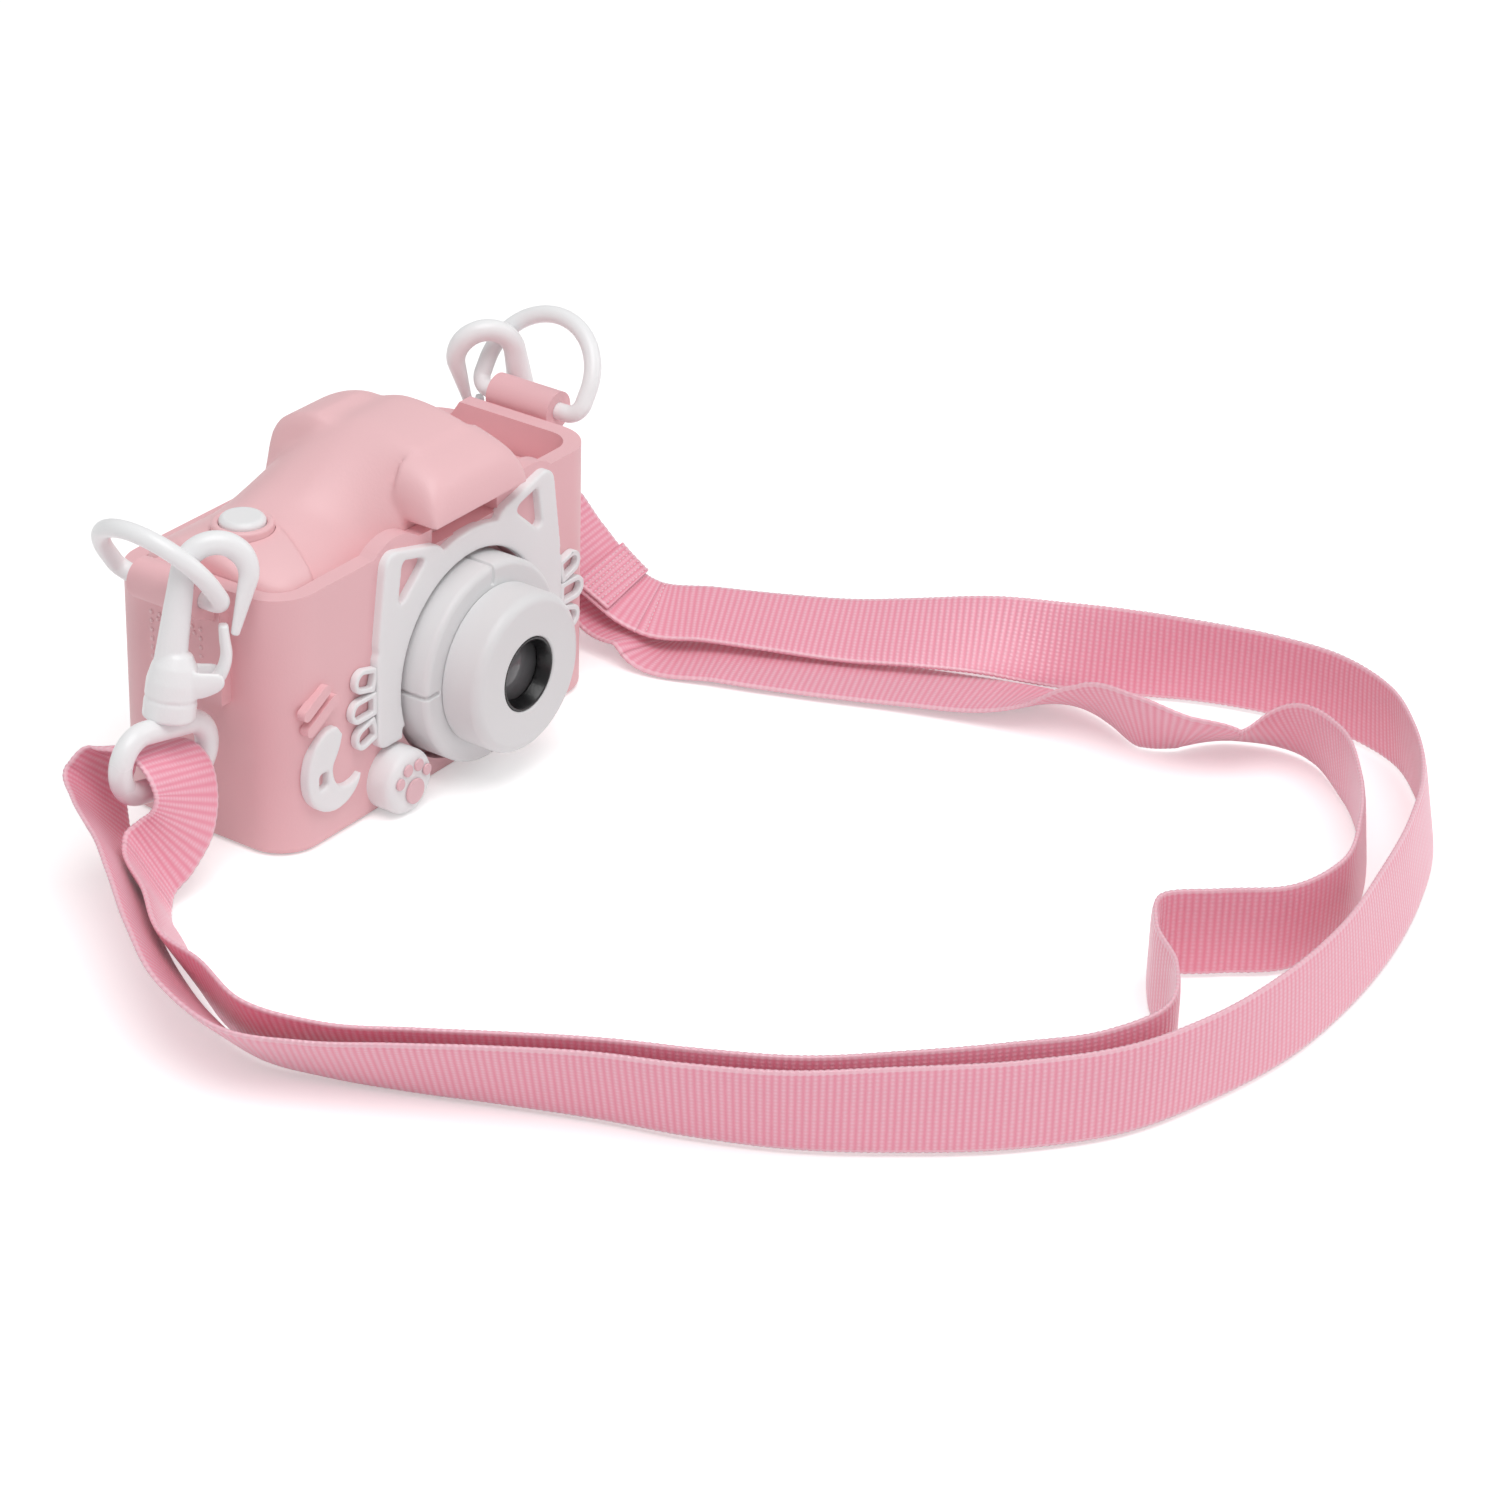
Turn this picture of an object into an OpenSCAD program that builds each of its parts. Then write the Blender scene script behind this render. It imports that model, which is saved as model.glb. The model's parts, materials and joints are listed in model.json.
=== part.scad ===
// Toy camera in a soft cat-eared cover, with clips and a neck strap.
// Millimetres. The lens faces -Y, +X is right seen from the front and the table is z = 0.

/* [Cover] */
// Cover width over the side walls
cover_w = 82; // [76:0.5:92]
// Cover depth from front to back
cover_d = 37; // [34:0.5:44]
// Height of the cover's rim
cover_h = 45.5; // [43:0.5:52]
// Corner radius of the cover seen from above
cover_r = 7.5; // [7:0.5:13]
// Wall of the cover
cover_wall = 3; // [2:0.1:4]
// Floor of the cover
cover_floor = 3; // [2.6:0.1:4]
// Round of the cover's bottom edge
cover_edge = 1.2; // [1:0.1:2.6]
// Gap between the camera case and the cover
case_gap = 0.1; // [0.05:0.05:0.4]
// Gap between pieces that are glued or lie on each other
seat_gap = 0.02; // [0.01:0.01:0.1]

/* [Lens] */
// Lens centre to the right of the middle
lens_x = 4.5; // [0:0.5:8]
// Lens centre above the table
lens_z = 20; // [19:0.5:23]
// Hole in the cover round the lens
hole_r = 18.4; // [17.8:0.1:19]
// Radius of the lens base ring
base_r = 17.5; // [15:0.1:17.6]
// Length of the lens base ring in front of the case
base_len = 9; // [6:0.5:14]
// Radius of the lens barrel
barrel_r = 13.8; // [12:0.1:14.5]
// Length of the barrel in front of the base ring
barrel_len = 7.5; // [5:0.5:14]
// Radius of the black lens cup
cup_r = 6.4; // [5.8:0.1:8]

/* [Relief] */
// Thickness of the white cat frame
frame_t = 1.6; // [1:0.1:2.5]
// Outer radius of the cat frame's half ring
frame_r = 22.7; // [21:0.1:24]
// Thickness of the cheek tufts
tuft_t = 1.4; // [0.8:0.1:2]
// Thickness of the tail
tail_t = 1.4; // [0.8:0.1:2]
// Thickness of the paw
paw_t = 5; // [2:0.1:5]
// Radius of the paw
paw_r = 5.6; // [4.5:0.1:6.4]

/* [Case] */
// Wall of the camera case
case_wall = 2; // [1.4:0.1:2.4]
// Crown of the case above the cover's rim
hump_up = 13.5; // [9:0.5:18]
// Left deck of the case above the cover's rim
deck_up = 3.5; // [2:0.5:5]
// Grip dome above the cover's rim
grip_up = 4.1; // [3.6:0.1:5.5]
// Right shoulder of the case below the cover's rim
shoulder_down = 5.5; // [4:0.5:6]
// Reach of the brow over the lens in front of the case
brow_len = 6.6; // [3:0.2:10]

/* [Buttons] */
// Radius of the shutter button
shutter_r = 3.8; // [3:0.1:4.2]
// Travel of the shutter button
shutter_travel = 1; // [0.5:0.1:1.3]
// Radius of the rear buttons
key_r = 2.4; // [1.8:0.1:2.5]
// Travel of the rear buttons
key_travel = 0.8; // [0.4:0.1:0.9]
// Distance of the rear buttons from the middle one
key_step = 6.6; // [6.5:0.1:7]
// Running clearance of shafts in holes, on the radius
run_gap = 0.05; // [0.02:0.01:0.1]

/* [Clips] */
// Radius of the ring's wire
ring_wire = 1.5; // [1.2:0.05:1.6]
// Radius of the ring's large arc
ring_r = 10.8; // [10.2:0.1:12]
// Outward tilt of the rings
ring_tilt = 34; // [30:1:38]
// Radius of the hook's wire
hook_wire = 1.5; // [1.2:0.05:1.6]
// Radius of the eye's wire
eye_wire = 1.7; // [1.4:0.05:1.8]
// Length of the lug tubes
lug_len = 13; // [10:0.5:14]
// Radius of the lug tubes
lug_r = 3.4; // [2.8:0.1:3.6]

/* [Strap] */
// Strap width
strap_w = 15; // [10:0.5:16]
// Strap thickness
strap_t = 1.2; // [0.8:0.1:1.6]

/* [Hidden] */
$fn = 64;
cut = 0.5;
pink = [0.93, 0.72, 0.75];
white = [0.95, 0.95, 0.95];
dark = [0.12, 0.12, 0.13];
board_green = [0.15, 0.4, 0.25];
metal = [0.75, 0.75, 0.76];
strap_pink = [0.95, 0.66, 0.72];

// Cover and case planes
front_y = -cover_d / 2;
back_y = cover_d / 2;
case_x = cover_w / 2 - cover_wall - case_gap;
case_y = cover_d / 2 - cover_wall - case_gap;
case_r = cover_r - cover_wall;
case_z = cover_floor + case_gap;
in_x = case_x - case_wall;
in_y = case_y - case_wall;
in_z = case_z + case_wall;
seam_z = cover_h - 9.5;
seam_y = case_y - 6.4;
hump_top = cover_h + hump_up;
deck_z = cover_h + deck_up;
grip_z = cover_h + grip_up;
shoulder_z = cover_h - shoulder_down;
brow_z = cover_h + 1.7;

// Two-dimensional outlines
module rounded_rect(w, d, r)
{
    square([w - 2 * r, d], center = true);
    square([w, d - 2 * r], center = true);
    for (sx = [-1, 1], sy = [-1, 1])
        translate([sx * (w / 2 - r), sy * (d / 2 - r)])
            circle(r);
}

// Points of a polygon with every corner rounded by an arc of radius r
function unit(v) = v / norm(v);
function corner_arc(a, b, c, r, n) =
    let (u = unit(a - b))
    let (v = unit(c - b))
    let (half = acos(u * v) / 2)
    let (m = b + unit(u + v) * r / sin(half))
    let (p = b + u * r / tan(half))
    let (q = b + v * r / tan(half))
    let (s = atan2(p[1] - m[1], p[0] - m[0]))
    let (e = atan2(q[1] - m[1], q[0] - m[0]))
    let (d = e - s > 180 ? e - s - 360 : e - s < -180 ? e - s + 360 : e - s)
    [for (k = [0:n]) m + r * [cos(s + d * k / n), sin(s + d * k / n)]];
function round_poly(p, r, n = 5) =
    [for (i = [0:len(p) - 1])
        each corner_arc(p[(i + len(p) - 1) % len(p)], p[i], p[(i + 1) % len(p)], r, n)];

// A drawing in x and z, raised t forward from the plane y
module on_front(y, t)
{
    translate([0, y, 0])
        rotate([90, 0, 0])
            linear_extrude(t)
                children();
}

// A turned body whose axis points forward from the plane y at the lens centre
module at_lens(y)
{
    translate([lens_x, y, lens_z])
        rotate([90, 0, 0])
            children();
}

// Soft cover
lug_x = cover_w / 2 + 4.5;
lug_z = cover_h;
strip_w = 15;
strip_t = 2.2;
lug_root = 4.8;
strip_low = cover_h - 19.5;
strip_high = cover_h - 1.5;
ear_x = 17.5;
ear_bump_r = 9;
ear_bump_z = cover_h - 7;
dip_w = 17;
dip_z = cover_h - 3;
port_y = case_y - 9.4;
port_w = 6.2;
port_low = in_z + 3.4;
port_high = strip_low - 0.6;
rear_open_w = 64;
rear_open_low = cover_floor + 3;
rear_open_high = cover_h - 5.5;
rear_open_r = 6;
rear_drop = 3.3;
rear_drop_y = strip_w / 2 + 0.6;
stroke_w = 2;
stroke_t = 1.2;

module rounded_foot(w, d, r, e)
{
    linear_extrude(e)
        rounded_rect(w - 2 * e, d - 2 * e, r - e);
    for (s = [-1, 1])
    {
        translate([0, s * (d / 2 - e), e])
            rotate([0, 90, 0])
                cylinder(r = e, h = w - 2 * r, center = true);
        translate([s * (w / 2 - e), 0, e])
            rotate([90, 0, 0])
                cylinder(r = e, h = d - 2 * r, center = true);
    }
    for (sx = [-1, 1], sy = [-1, 1])
        translate([sx * (w / 2 - r), sy * (d / 2 - r), e])
            rotate_extrude()
                translate([r - e, 0])
                    circle(e);
}

module lug(s)
{
    inner = cover_w / 2 - 0.6;
    outer = cover_w / 2 + strip_t;
    mirror([s < 0 ? 1 : 0, 0, 0])
    {
        translate([inner, -strip_w / 2, strip_low])
            cube([outer - inner, strip_w, strip_high - strip_low]);
        translate([lug_x, lug_len / 2, lug_z])
            rotate([90, 0, 0])
                cylinder(r = lug_r, h = lug_len);
        translate([0, lug_len / 2, 0])
            rotate([90, 0, 0])
                linear_extrude(lug_len)
                    polygon([[inner, lug_z - lug_root], [outer, lug_z - lug_root],
                        [lug_x + lug_r * cos(20), lug_z - lug_r * sin(20)],
                        [lug_x, lug_z + 0.2], [inner, strip_high]]);
    }
}

module stroke(a, b)
{
    v = b - a;
    translate(a)
        circle(stroke_w / 2);
    translate(b)
        circle(stroke_w / 2);
    translate(a)
        rotate(atan2(v[1], v[0]))
            translate([0, -stroke_w / 2])
                square([norm(v), stroke_w]);
}

module silicone_cover()
{
    color(pink)
        difference()
        {
            union()
            {
                rounded_foot(cover_w, cover_d, cover_r, cover_edge);
                translate([0, 0, cover_edge])
                    linear_extrude(cover_h - cover_edge)
                        rounded_rect(cover_w, cover_d, cover_r);
                for (s = [-1, 1])
                {
                    lug(s);
                    translate([lens_x + s * ear_x, front_y + cover_wall, ear_bump_z])
                        rotate([90, 0, 0])
                            cylinder(r = ear_bump_r, h = cover_wall);
                }
                on_front(front_y + 0.4, stroke_t + 0.4)
                {
                    stroke([lens_x - 36.6, 28], [lens_x - 41.2, 25.5]);
                    stroke([lens_x - 34.6, 25.6], [lens_x - 40.4, 22.4]);
                }
            }
            translate([0, 0, cover_floor])
                linear_extrude(cover_h + 9)
                    rounded_rect(cover_w - 2 * cover_wall, cover_d - 2 * cover_wall, case_r + case_gap);
            at_lens(front_y + cover_wall + cut)
                cylinder(r = hole_r, h = cover_wall + 2 * cut);
            translate([lens_x - dip_w / 2, front_y - cut, dip_z])
                cube([dip_w, cover_wall + 2 * cut, 9]);
            on_front(back_y + cut, cover_wall + 2 * cut)
                translate([0, (rear_open_low + rear_open_high) / 2])
                    rounded_rect(rear_open_w, rear_open_high - rear_open_low, rear_open_r);
            translate([-cover_w, 0, 0])
                rotate([90, 0, 90])
                    linear_extrude(2 * cover_w)
                        polygon(round_poly([[rear_drop_y - 3, cover_h + 6], [rear_drop_y + 3, cover_h - rear_drop],
                            [cover_d, cover_h - rear_drop], [cover_d, cover_h + 6]], 2.5, 5));
            translate([cover_w / 2 - cover_wall - cut, port_y - port_w / 2, port_low])
                cube([cover_wall + 2 * cut, port_w, port_high - port_low]);
            for (s = [-1, 1])
                translate([s * lug_x, lug_len, lug_z])
                    rotate([90, 0, 0])
                        cylinder(r = ring_wire + run_gap, h = 2 * lug_len);
        }
}

// White relief on the front of the cover
leg_past = 1.7;
leg_out = frame_r + leg_past;
leg_in = 18;
leg_low = 12;
ear = [[-21.8, 46.6], [-6.2, 42.6], [-10, 33], [-24.7, 26]];
ear_window = [[-17.8, 43.8], [-11.2, 42], [-19.2, 34.8]];
relief_y = front_y - seat_gap;

module frame_half()
{
    on_front(relief_y, frame_t)
        polygon(round_poly(ear, 2.6));
    on_front(relief_y, frame_t)
        translate([-(leg_out + leg_in) / 2, leg_low + 9])
            rounded_rect(leg_out - leg_in, 18, 2);
}

module frame_cuts()
{
    deep = frame_t + 2 * cut;
    y = relief_y + cut;
    on_front(y, deep)
        translate([0, lens_z])
            circle(hole_r);
    on_front(y, deep)
        translate([-leg_in - 0.2, -10])
            square([2 * leg_in + 0.4, 12 + leg_low]);
    on_front(y, deep)
        translate([-30, leg_low - 20])
            square([60, 20]);
    on_front(y, deep)
        translate([-dip_w / 2 - 0.4, dip_z + 0.4])
            square([dip_w + 0.8, 9]);
    on_front(y, deep)
        polygon(round_poly(ear_window, 0.9, 3));
    on_front(y, deep)
        mirror([1, 0])
            polygon(round_poly(ear_window, 0.9, 3));
}

module cat_frame()
{
    color(white)
        translate([lens_x, 0, 0])
            difference()
            {
                union()
                {
                    on_front(relief_y, frame_t)
                        translate([0, lens_z])
                            circle(frame_r);
                    frame_half();
                    mirror([1, 0, 0])
                        frame_half();
                }
                frame_cuts();
            }
}

// Three petals outside one leg of the frame, with open middles
petal_r = 2.1;
petal_rim = 0.9;
petals = [[4.2, 15, 3.4], [0, 0, 4.3], [-4.2, -15, 3.4]];

module petal(p, r)
{
    translate([-leg_out, lens_z + 1 + p[0]])
        rotate(-p[1])
            translate([-p[2], 0])
            {
                circle(r);
                translate([0, -r])
                    square([p[2] - (petal_r - r), 2 * r]);
            }
}

module tuft()
{
    on_front(relief_y, tuft_t)
        difference()
        {
            for (p = petals)
                petal(p, petal_r);
            for (p = petals)
                petal(p, petal_r - petal_rim);
            translate([-leg_out - seat_gap, 0])
                square([12, 60]);
        }
}

module left_cheek_tuft()
{
    color(white)
        translate([lens_x, 0, 0])
            tuft();
}

module right_cheek_tuft()
{
    color(white)
        translate([lens_x, 0, 0])
            mirror([1, 0, 0])
                tuft();
}

// Tail: a band on an arc whose half width swells and then runs out to a point
tail_c = [lens_x - leg_out - 8.6, 13.4];
tail_arc_r = 5.6;
tail_half = 3.1;
tail_from = 90;
tail_to = 325;
tail_steps = 26;
tail_window = [2.2, 2.8];
function tail_width(t) = tail_half * (t < 0.2 ? sqrt(1 - pow(1 - t / 0.2, 2)) :
    t < 0.45 ? 1 : 1 - pow((t - 0.45) / 0.55, 1.5));
function tail_side(s) =
    [for (k = [0:tail_steps])
        let (t = k / tail_steps)
        let (a = tail_from + (tail_to - tail_from) * t)
        tail_c + (tail_arc_r + s * tail_width(t)) * [cos(a), sin(a)]];
function back_to_front(p) = [for (i = [len(p) - 2:-1:1]) p[i]];

module tail_relief()
{
    color(white)
        on_front(relief_y, tail_t)
            difference()
            {
                polygon(concat(tail_side(1), back_to_front(tail_side(-1))));
                translate(tail_c + [-4.8, -1])
                    square(tail_window, center = true);
            }
}

// Paw: a thick round-edged disc with five pads on its face
paw_c = [lens_x - leg_out + 4.2, paw_r + 0.1];
paw_round = 1.4;
pad_t = 0.5;
pad_list = [[0.4, -1.5, 2.2], [-3.3, 1.2, 1], [-1.3, 2.9, 1.05], [1.4, 2.9, 1.05], [3.5, 1.2, 1]];

module paw_relief()
{
    color(white)
        translate([paw_c[0], relief_y, paw_c[1]])
            rotate([90, 0, 0])
            {
                cylinder(r = paw_r, h = paw_t - paw_round);
                cylinder(r = paw_r - paw_round, h = paw_t);
                translate([0, 0, paw_t - paw_round])
                    rotate_extrude()
                        translate([paw_r - paw_round, 0])
                            circle(paw_round);
            }
}

module paw_pads()
{
    color(pink)
        for (p = pad_list)
            translate([paw_c[0] + p[0], relief_y - paw_t - seat_gap, paw_c[1] + p[1]])
                rotate([90, 0, 0])
                    cylinder(r = p[2], h = pad_t);
}

// Camera case
boss_x = in_x - 2.7;
boss_low = in_z + 2.2;
boss_high = seam_z - 3;
boss_r = 2;
screw_r = 0.9;
screw_head_r = 1.8;
screw_head_t = 1.5;
screw_sink = 1.2;
screw_len = 17;
screw_tip = case_y - screw_sink - screw_len;
post_x = -28.6;
post_r = 2.5;
shelf_z = cover_h - 7.2;
tube_hole_r = 5.4;
board_y = seam_y - 1.3;
board_t = 1.2;
board_x = 30;
board_low = in_z + 0.9;
board_high = seam_z - 3;
usb_size = [9, 3, 4.6];
usb_low = port_low + 1.4;
card_size = [12, 2.1, 9.6];
card_low = usb_low + usb_size[2] + 0.8;
port_gap = 0.2;

module case_block(y0, y1, z1)
{
    intersection()
    {
        translate([0, 0, case_z])
            linear_extrude(z1 - case_z)
                rounded_rect(2 * case_x, 2 * case_y, case_r);
        translate([-case_x - 1, y0, 0])
            cube([2 * case_x + 2, y1 - y0, 2 * cover_h]);
    }
}

module case_hollow()
{
    translate([0, 0, in_z])
        linear_extrude(cover_h)
            rounded_rect(2 * in_x, 2 * in_y, case_r - case_wall);
}

module at_bosses(y)
{
    for (x = [-boss_x, boss_x], z = [boss_low, boss_high])
        translate([x, y, z])
            rotate([90, 0, 0])
                children();
}

module front_shell()
{
    top = seam_z - seat_gap;
    rear = seam_y - seat_gap;
    color(pink)
        difference()
        {
            union()
            {
                difference()
                {
                    case_block(-case_y, rear, top);
                    case_hollow();
                }
                at_bosses(rear)
                    cylinder(r = boss_r, h = rear + in_y + 0.5);
                translate([post_x, 0, case_z + 0.5])
                    cylinder(r = post_r, h = shelf_z - case_z - 0.5 - seat_gap);
                for (s = [-1, 1])
                {
                    translate([s * 14 - 2, board_y - seat_gap - 1.6, in_z - 0.5])
                        cube([4, 1.6, 3]);
                    translate([s > 0 ? board_x - 2 : -in_x - 0.5, board_y - seat_gap - 1.6, boss_high - 6])
                        cube([in_x + 0.5 - board_x + 2, 1.6, 3.6]);
                }
            }
            at_lens(-in_y + cut)
                cylinder(r = tube_hole_r, h = case_wall + 2 * cut);
            at_bosses(rear + cut)
                cylinder(r = screw_r + run_gap, h = rear + cut + 0.5 - screw_tip);
            translate([in_x - cut, board_y - usb_size[1] - port_gap, usb_low - port_gap])
                cube([case_wall + 2 * cut, usb_size[1] + 2 * port_gap, usb_size[2] + 2 * port_gap]);
            translate([in_x - cut, board_y - card_size[1] - port_gap, card_low - port_gap])
                cube([case_wall + 2 * cut, card_size[1] + 2 * port_gap, card_size[2] + 2 * port_gap]);
        }
}

// Rear shell with the screen and the keys
screen_x = 11;
screen_w = 38;
screen_low = in_z + 2.2;
screen_high = seam_z - 2.6;
screen_t = 1.2;
screen_lip = 1;
panel_rim = 0.6;
key_x = -21;
key_z = (in_z + seam_z) / 2 - 0.5;
key_flange = 0.6;
key_flange_t = 0.8;
key_proud = 0.7;
key_play = 0.15;
power_dx = -6.8;
power_dz = 9.6;

module screen_plan(in, lip)
{
    translate([screen_x, (screen_low + screen_high) / 2])
        rounded_rect(screen_w + 2 * in - 2 * lip, screen_high - screen_low + 2 * in - 2 * lip, 1.5);
}

module at_key(dx, dz, y)
{
    translate([key_x + dx, y, key_z + dz])
        rotate([90, 0, 0])
            children();
}

module rear_shell()
{
    rear = seam_y + seat_gap;
    color(pink)
        difference()
        {
            union()
            {
                difference()
                {
                    case_block(rear, case_y, seam_z - seat_gap);
                    case_hollow();
                }
                at_bosses(in_y + 0.5)
                    cylinder(r = boss_r + 0.4, h = in_y + 0.5 - rear);
            }
            on_front(case_y + cut, case_wall + 2 * cut)
                screen_plan(0, screen_lip);
            on_front(case_y + cut, screen_t + cut)
                screen_plan(run_gap, 0);
            for (k = [[0, 0], [0, key_step], [0, -key_step], [key_step, 0], [-key_step, 0], [power_dx, power_dz]])
                at_key(k[0], k[1], case_y + cut)
                    cylinder(r = key_r + run_gap, h = case_wall + 2 * cut);
            at_bosses(case_y + cut)
                cylinder(r = screw_r + 0.1, h = case_y - seam_y + 2 * cut);
            at_bosses(case_y + cut)
                cylinder(r = screw_head_r + 0.1, h = screw_head_t + screw_sink + cut);
        }
}

module case_screws()
{
    color(metal)
        at_bosses(case_y - screw_sink)
        {
            difference()
            {
                cylinder(r = screw_head_r, h = screw_head_t);
                translate([-screw_head_r, -0.25, -cut])
                    cube([2 * screw_head_r, 0.5, cut + 0.5]);
            }
            cylinder(r = screw_r, h = screw_len);
        }
}

// Top shell: a height field with a hollow underside, and a brow over the lens
edge_steps = [0, 0.5, 1.2, 2.2];
edge_r = 2.2;
mid_cols = 34;
mid_rows = 16;
cols = mid_cols + 2 * len(edge_steps);
rows = mid_rows + 2 * len(edge_steps);
skin = 2.4;
cap_z = seam_z + seat_gap;
function sstep(a, b, x) =
    let (t = min(1, max(0, (x - a) / (b - a))))
    t * t * (3 - 2 * t);
function hump(y) = hump_top - (y < -2 ? 0.0125 : 0.041) * pow(y + 2, 2);
function left_deck(y) = deck_z - (y < 0 ? 10 * pow(y / 15.4, 2) : y > 4 ? 6 * pow((y - 4) / 11.4, 2) : 0);
function grip(x, y) = grip_z - (y < -3 ? 4.1 * pow((y + 3) / 12.4, 2) : 6.2 * pow((y + 3) / 18.4, 2))
    - 3 * pow(max(0, -29 - x) / 8.9, 2);
function grip_x(y) = -24 + (y < -4 ? 4.5 * (y + 4) / 11.4 : 0);
function slopes(x, y) =
    let (q = sstep(5, -15, y))
    let (l = left_deck(y))
    let (h = hump(y))
    let (r = shoulder_z)
    x < lens_x ? l + (h - l) * sstep(-22.5 + 9 * q, 1 - 2 * q, x)
        : r + (h - r) * (1 - sstep(9.8 + q, 30 - 9 * q, x));
// Rear block of the crown: a steep left end, a flat top that falls to the right and to the back
block_top = hump_top - 0.4;
block_wall = 13;
function block(x, y) =
    let (u = x - lens_x)
    let (t = block_top - 0.04 * pow(max(0, y - 5), 2))
    u < -7.5 ? t - block_wall * (1 - sstep(-12.4, -7.5, u))
        : u > 2.5 ? t - 9 * pow((u - 2.5) / 12, 2) : t;
function crown(x, y) =
    let (f = slopes(x, y))
    f + (max(block(x, y), f) - f) * sstep(0.5, 6.5, y);
function deck(x, y) =
    let (f = crown(x, y))
    let (g = max(grip(x, y), f))
    f + (g - f) * sstep(grip_x(y) + 0.8, grip_x(y) - 0.8, x);
function half_x(y, in) =
    let (c = case_y - case_r)
    let (r = case_r - in)
    abs(y) <= c ? case_x - in : case_x - in - r + sqrt(max(0, r * r - pow(abs(y) - c, 2)));
function spread(k, n, h) =
    let (e = len(edge_steps))
    k < e ? -h + edge_steps[k] : k >= n - e ? h - edge_steps[n - 1 - k]
        : -h + edge_r + (2 * h - 2 * edge_r) * (k - e + 1) / (n - 2 * e + 1);
function drop(d) = d < edge_r ? edge_r - sqrt(edge_r * edge_r - pow(edge_r - d, 2)) : 0;
function cap_point(i, j, in) =
    let (y = spread(j, rows, case_y - in))
    let (x = spread(i, cols, half_x(y, in)))
    let (d = min(half_x(y, in) - abs(x), case_y - in - abs(y)))
    let (z = deck(x, y))
    [x, y, in > 0 ? max(cap_z + 0.6, z - skin - drop(d) * 0.4) : z - drop(d)];
function rim_loop() =
    concat([for (i = [0:cols - 1]) [i, 0]], [for (j = [1:rows - 1]) [cols - 1, j]],
        [for (i = [cols - 2:-1:0]) [i, rows - 1]], [for (j = [rows - 2:-1:1]) [0, j]]);
function flat(p, z) = [p[0], p[1], z];

module cap_solid()
{
    rim = rim_loop();
    n = cols * rows;
    m = len(rim);
    points = concat([for (j = [0:rows - 1], i = [0:cols - 1]) cap_point(i, j, 0)],
        [for (j = [0:rows - 1], i = [0:cols - 1]) cap_point(i, j, case_wall)],
        [for (b = rim) flat(cap_point(b[0], b[1], 0), cap_z)],
        [for (b = rim) flat(cap_point(b[0], b[1], case_wall), cap_z)]);
    top = [for (j = [0:rows - 2], i = [0:cols - 2])
        let (a = j * cols + i)
        each [[a, a + cols, a + cols + 1], [a, a + cols + 1, a + 1]]];
    under = [for (t = top) [t[0] + n, t[2] + n, t[1] + n]];
    wall = [for (k = [0:m - 1])
        let (l = (k + 1) % m)
        let (t = rim[k][1] * cols + rim[k][0])
        let (u = rim[l][1] * cols + rim[l][0])
        let (o = 2 * n + k)
        let (p = 2 * n + l)
        each [[t, u, p], [t, p, o], [o, p, p + m], [o, p + m, o + m],
            [o + m, p + m, u + n], [o + m, u + n, t + n]]];
    polyhedron(points, concat(top, under, wall));
}

brow_x = lens_x + 0.25;
brow_half = 12.05;
brow_cols = 16;
brow_rows = 8;
brow_edge = 0.5;
function brow_point(i, j) =
    let (s = sin(-90 + 180 * i / brow_cols))
    let (t = sin(90 * j / brow_rows))
    let (y = -case_y + 0.5 - (brow_len + 0.5) * t)
    let (side = pow(max(0, 1 - pow(abs(s), 5)), 0.4))
    let (lip = sqrt(max(0, 1 - pow(t, 8))))
    [brow_x + brow_half * s, y, brow_z + brow_edge + (hump(y) - 0.6 - brow_edge - brow_z) * side * lip];
function brow_rim() =
    concat([for (j = [0:brow_rows]) [0, j]], [for (i = [1:brow_cols]) [i, brow_rows]],
        [for (j = [brow_rows - 1:-1:0]) [brow_cols, j]], [for (i = [brow_cols - 1:-1:1]) [i, 0]]);

module brow_solid()
{
    n = brow_cols + 1;
    rim = brow_rim();
    m = len(rim);
    low = n * (brow_rows + 1);
    points = concat([for (j = [0:brow_rows], i = [0:brow_cols]) brow_point(i, j)],
        [for (b = rim) flat(brow_point(b[0], b[1]), brow_z)]);
    top = [for (j = [0:brow_rows - 1], i = [0:brow_cols - 1])
        let (a = j * n + i)
        each [[a, a + n + 1, a + n], [a, a + 1, a + n + 1]]];
    side = [for (k = [0:m - 1])
        let (l = (k + 1) % m)
        let (t = rim[k][1] * n + rim[k][0])
        let (u = rim[l][1] * n + rim[l][0])
        each [[t, u, low + l], [t, low + l, low + k]]];
    under = [for (k = [0:m - 1]) low + k];
    polyhedron(points, concat(top, side, [under]));
}

collar_r = shutter_r + 1.3;
collar_top = grip_z + 1.2;
collar_low = cover_h - 1.3;
collar_floor = cover_h + 0.9;
stem_r = 1.7;
shutter_top = collar_top + 0.9;
shutter_cap = 3.6;

// The finished cap is fitted to the width of the case
module top_shell()
{
    color(pink)
        resize([2 * case_x, 0, 0])
            difference()
            {
                union()
                {
                    cap_solid();
                    brow_solid();
                }
                translate([post_x, 0, collar_low - 3])
                    cylinder(r = collar_r + 0.1, h = 20, $fn = 48);
            }
}

// Shutter
module shutter_collar()
{
    color(pink)
        translate([post_x, 0, 0])
            difference()
            {
                translate([0, 0, collar_low])
                    cylinder(r = collar_r, h = collar_top - collar_low);
                translate([0, 0, collar_floor])
                    cylinder(r = shutter_r + run_gap, h = collar_top - collar_floor + cut);
                translate([0, 0, collar_low - cut])
                    cylinder(r = stem_r + run_gap, h = collar_floor - collar_low + 2 * cut);
            }
}

switch_top = shelf_z + 4.5;
stem_low = switch_top + shutter_travel + 0.1;

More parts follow.
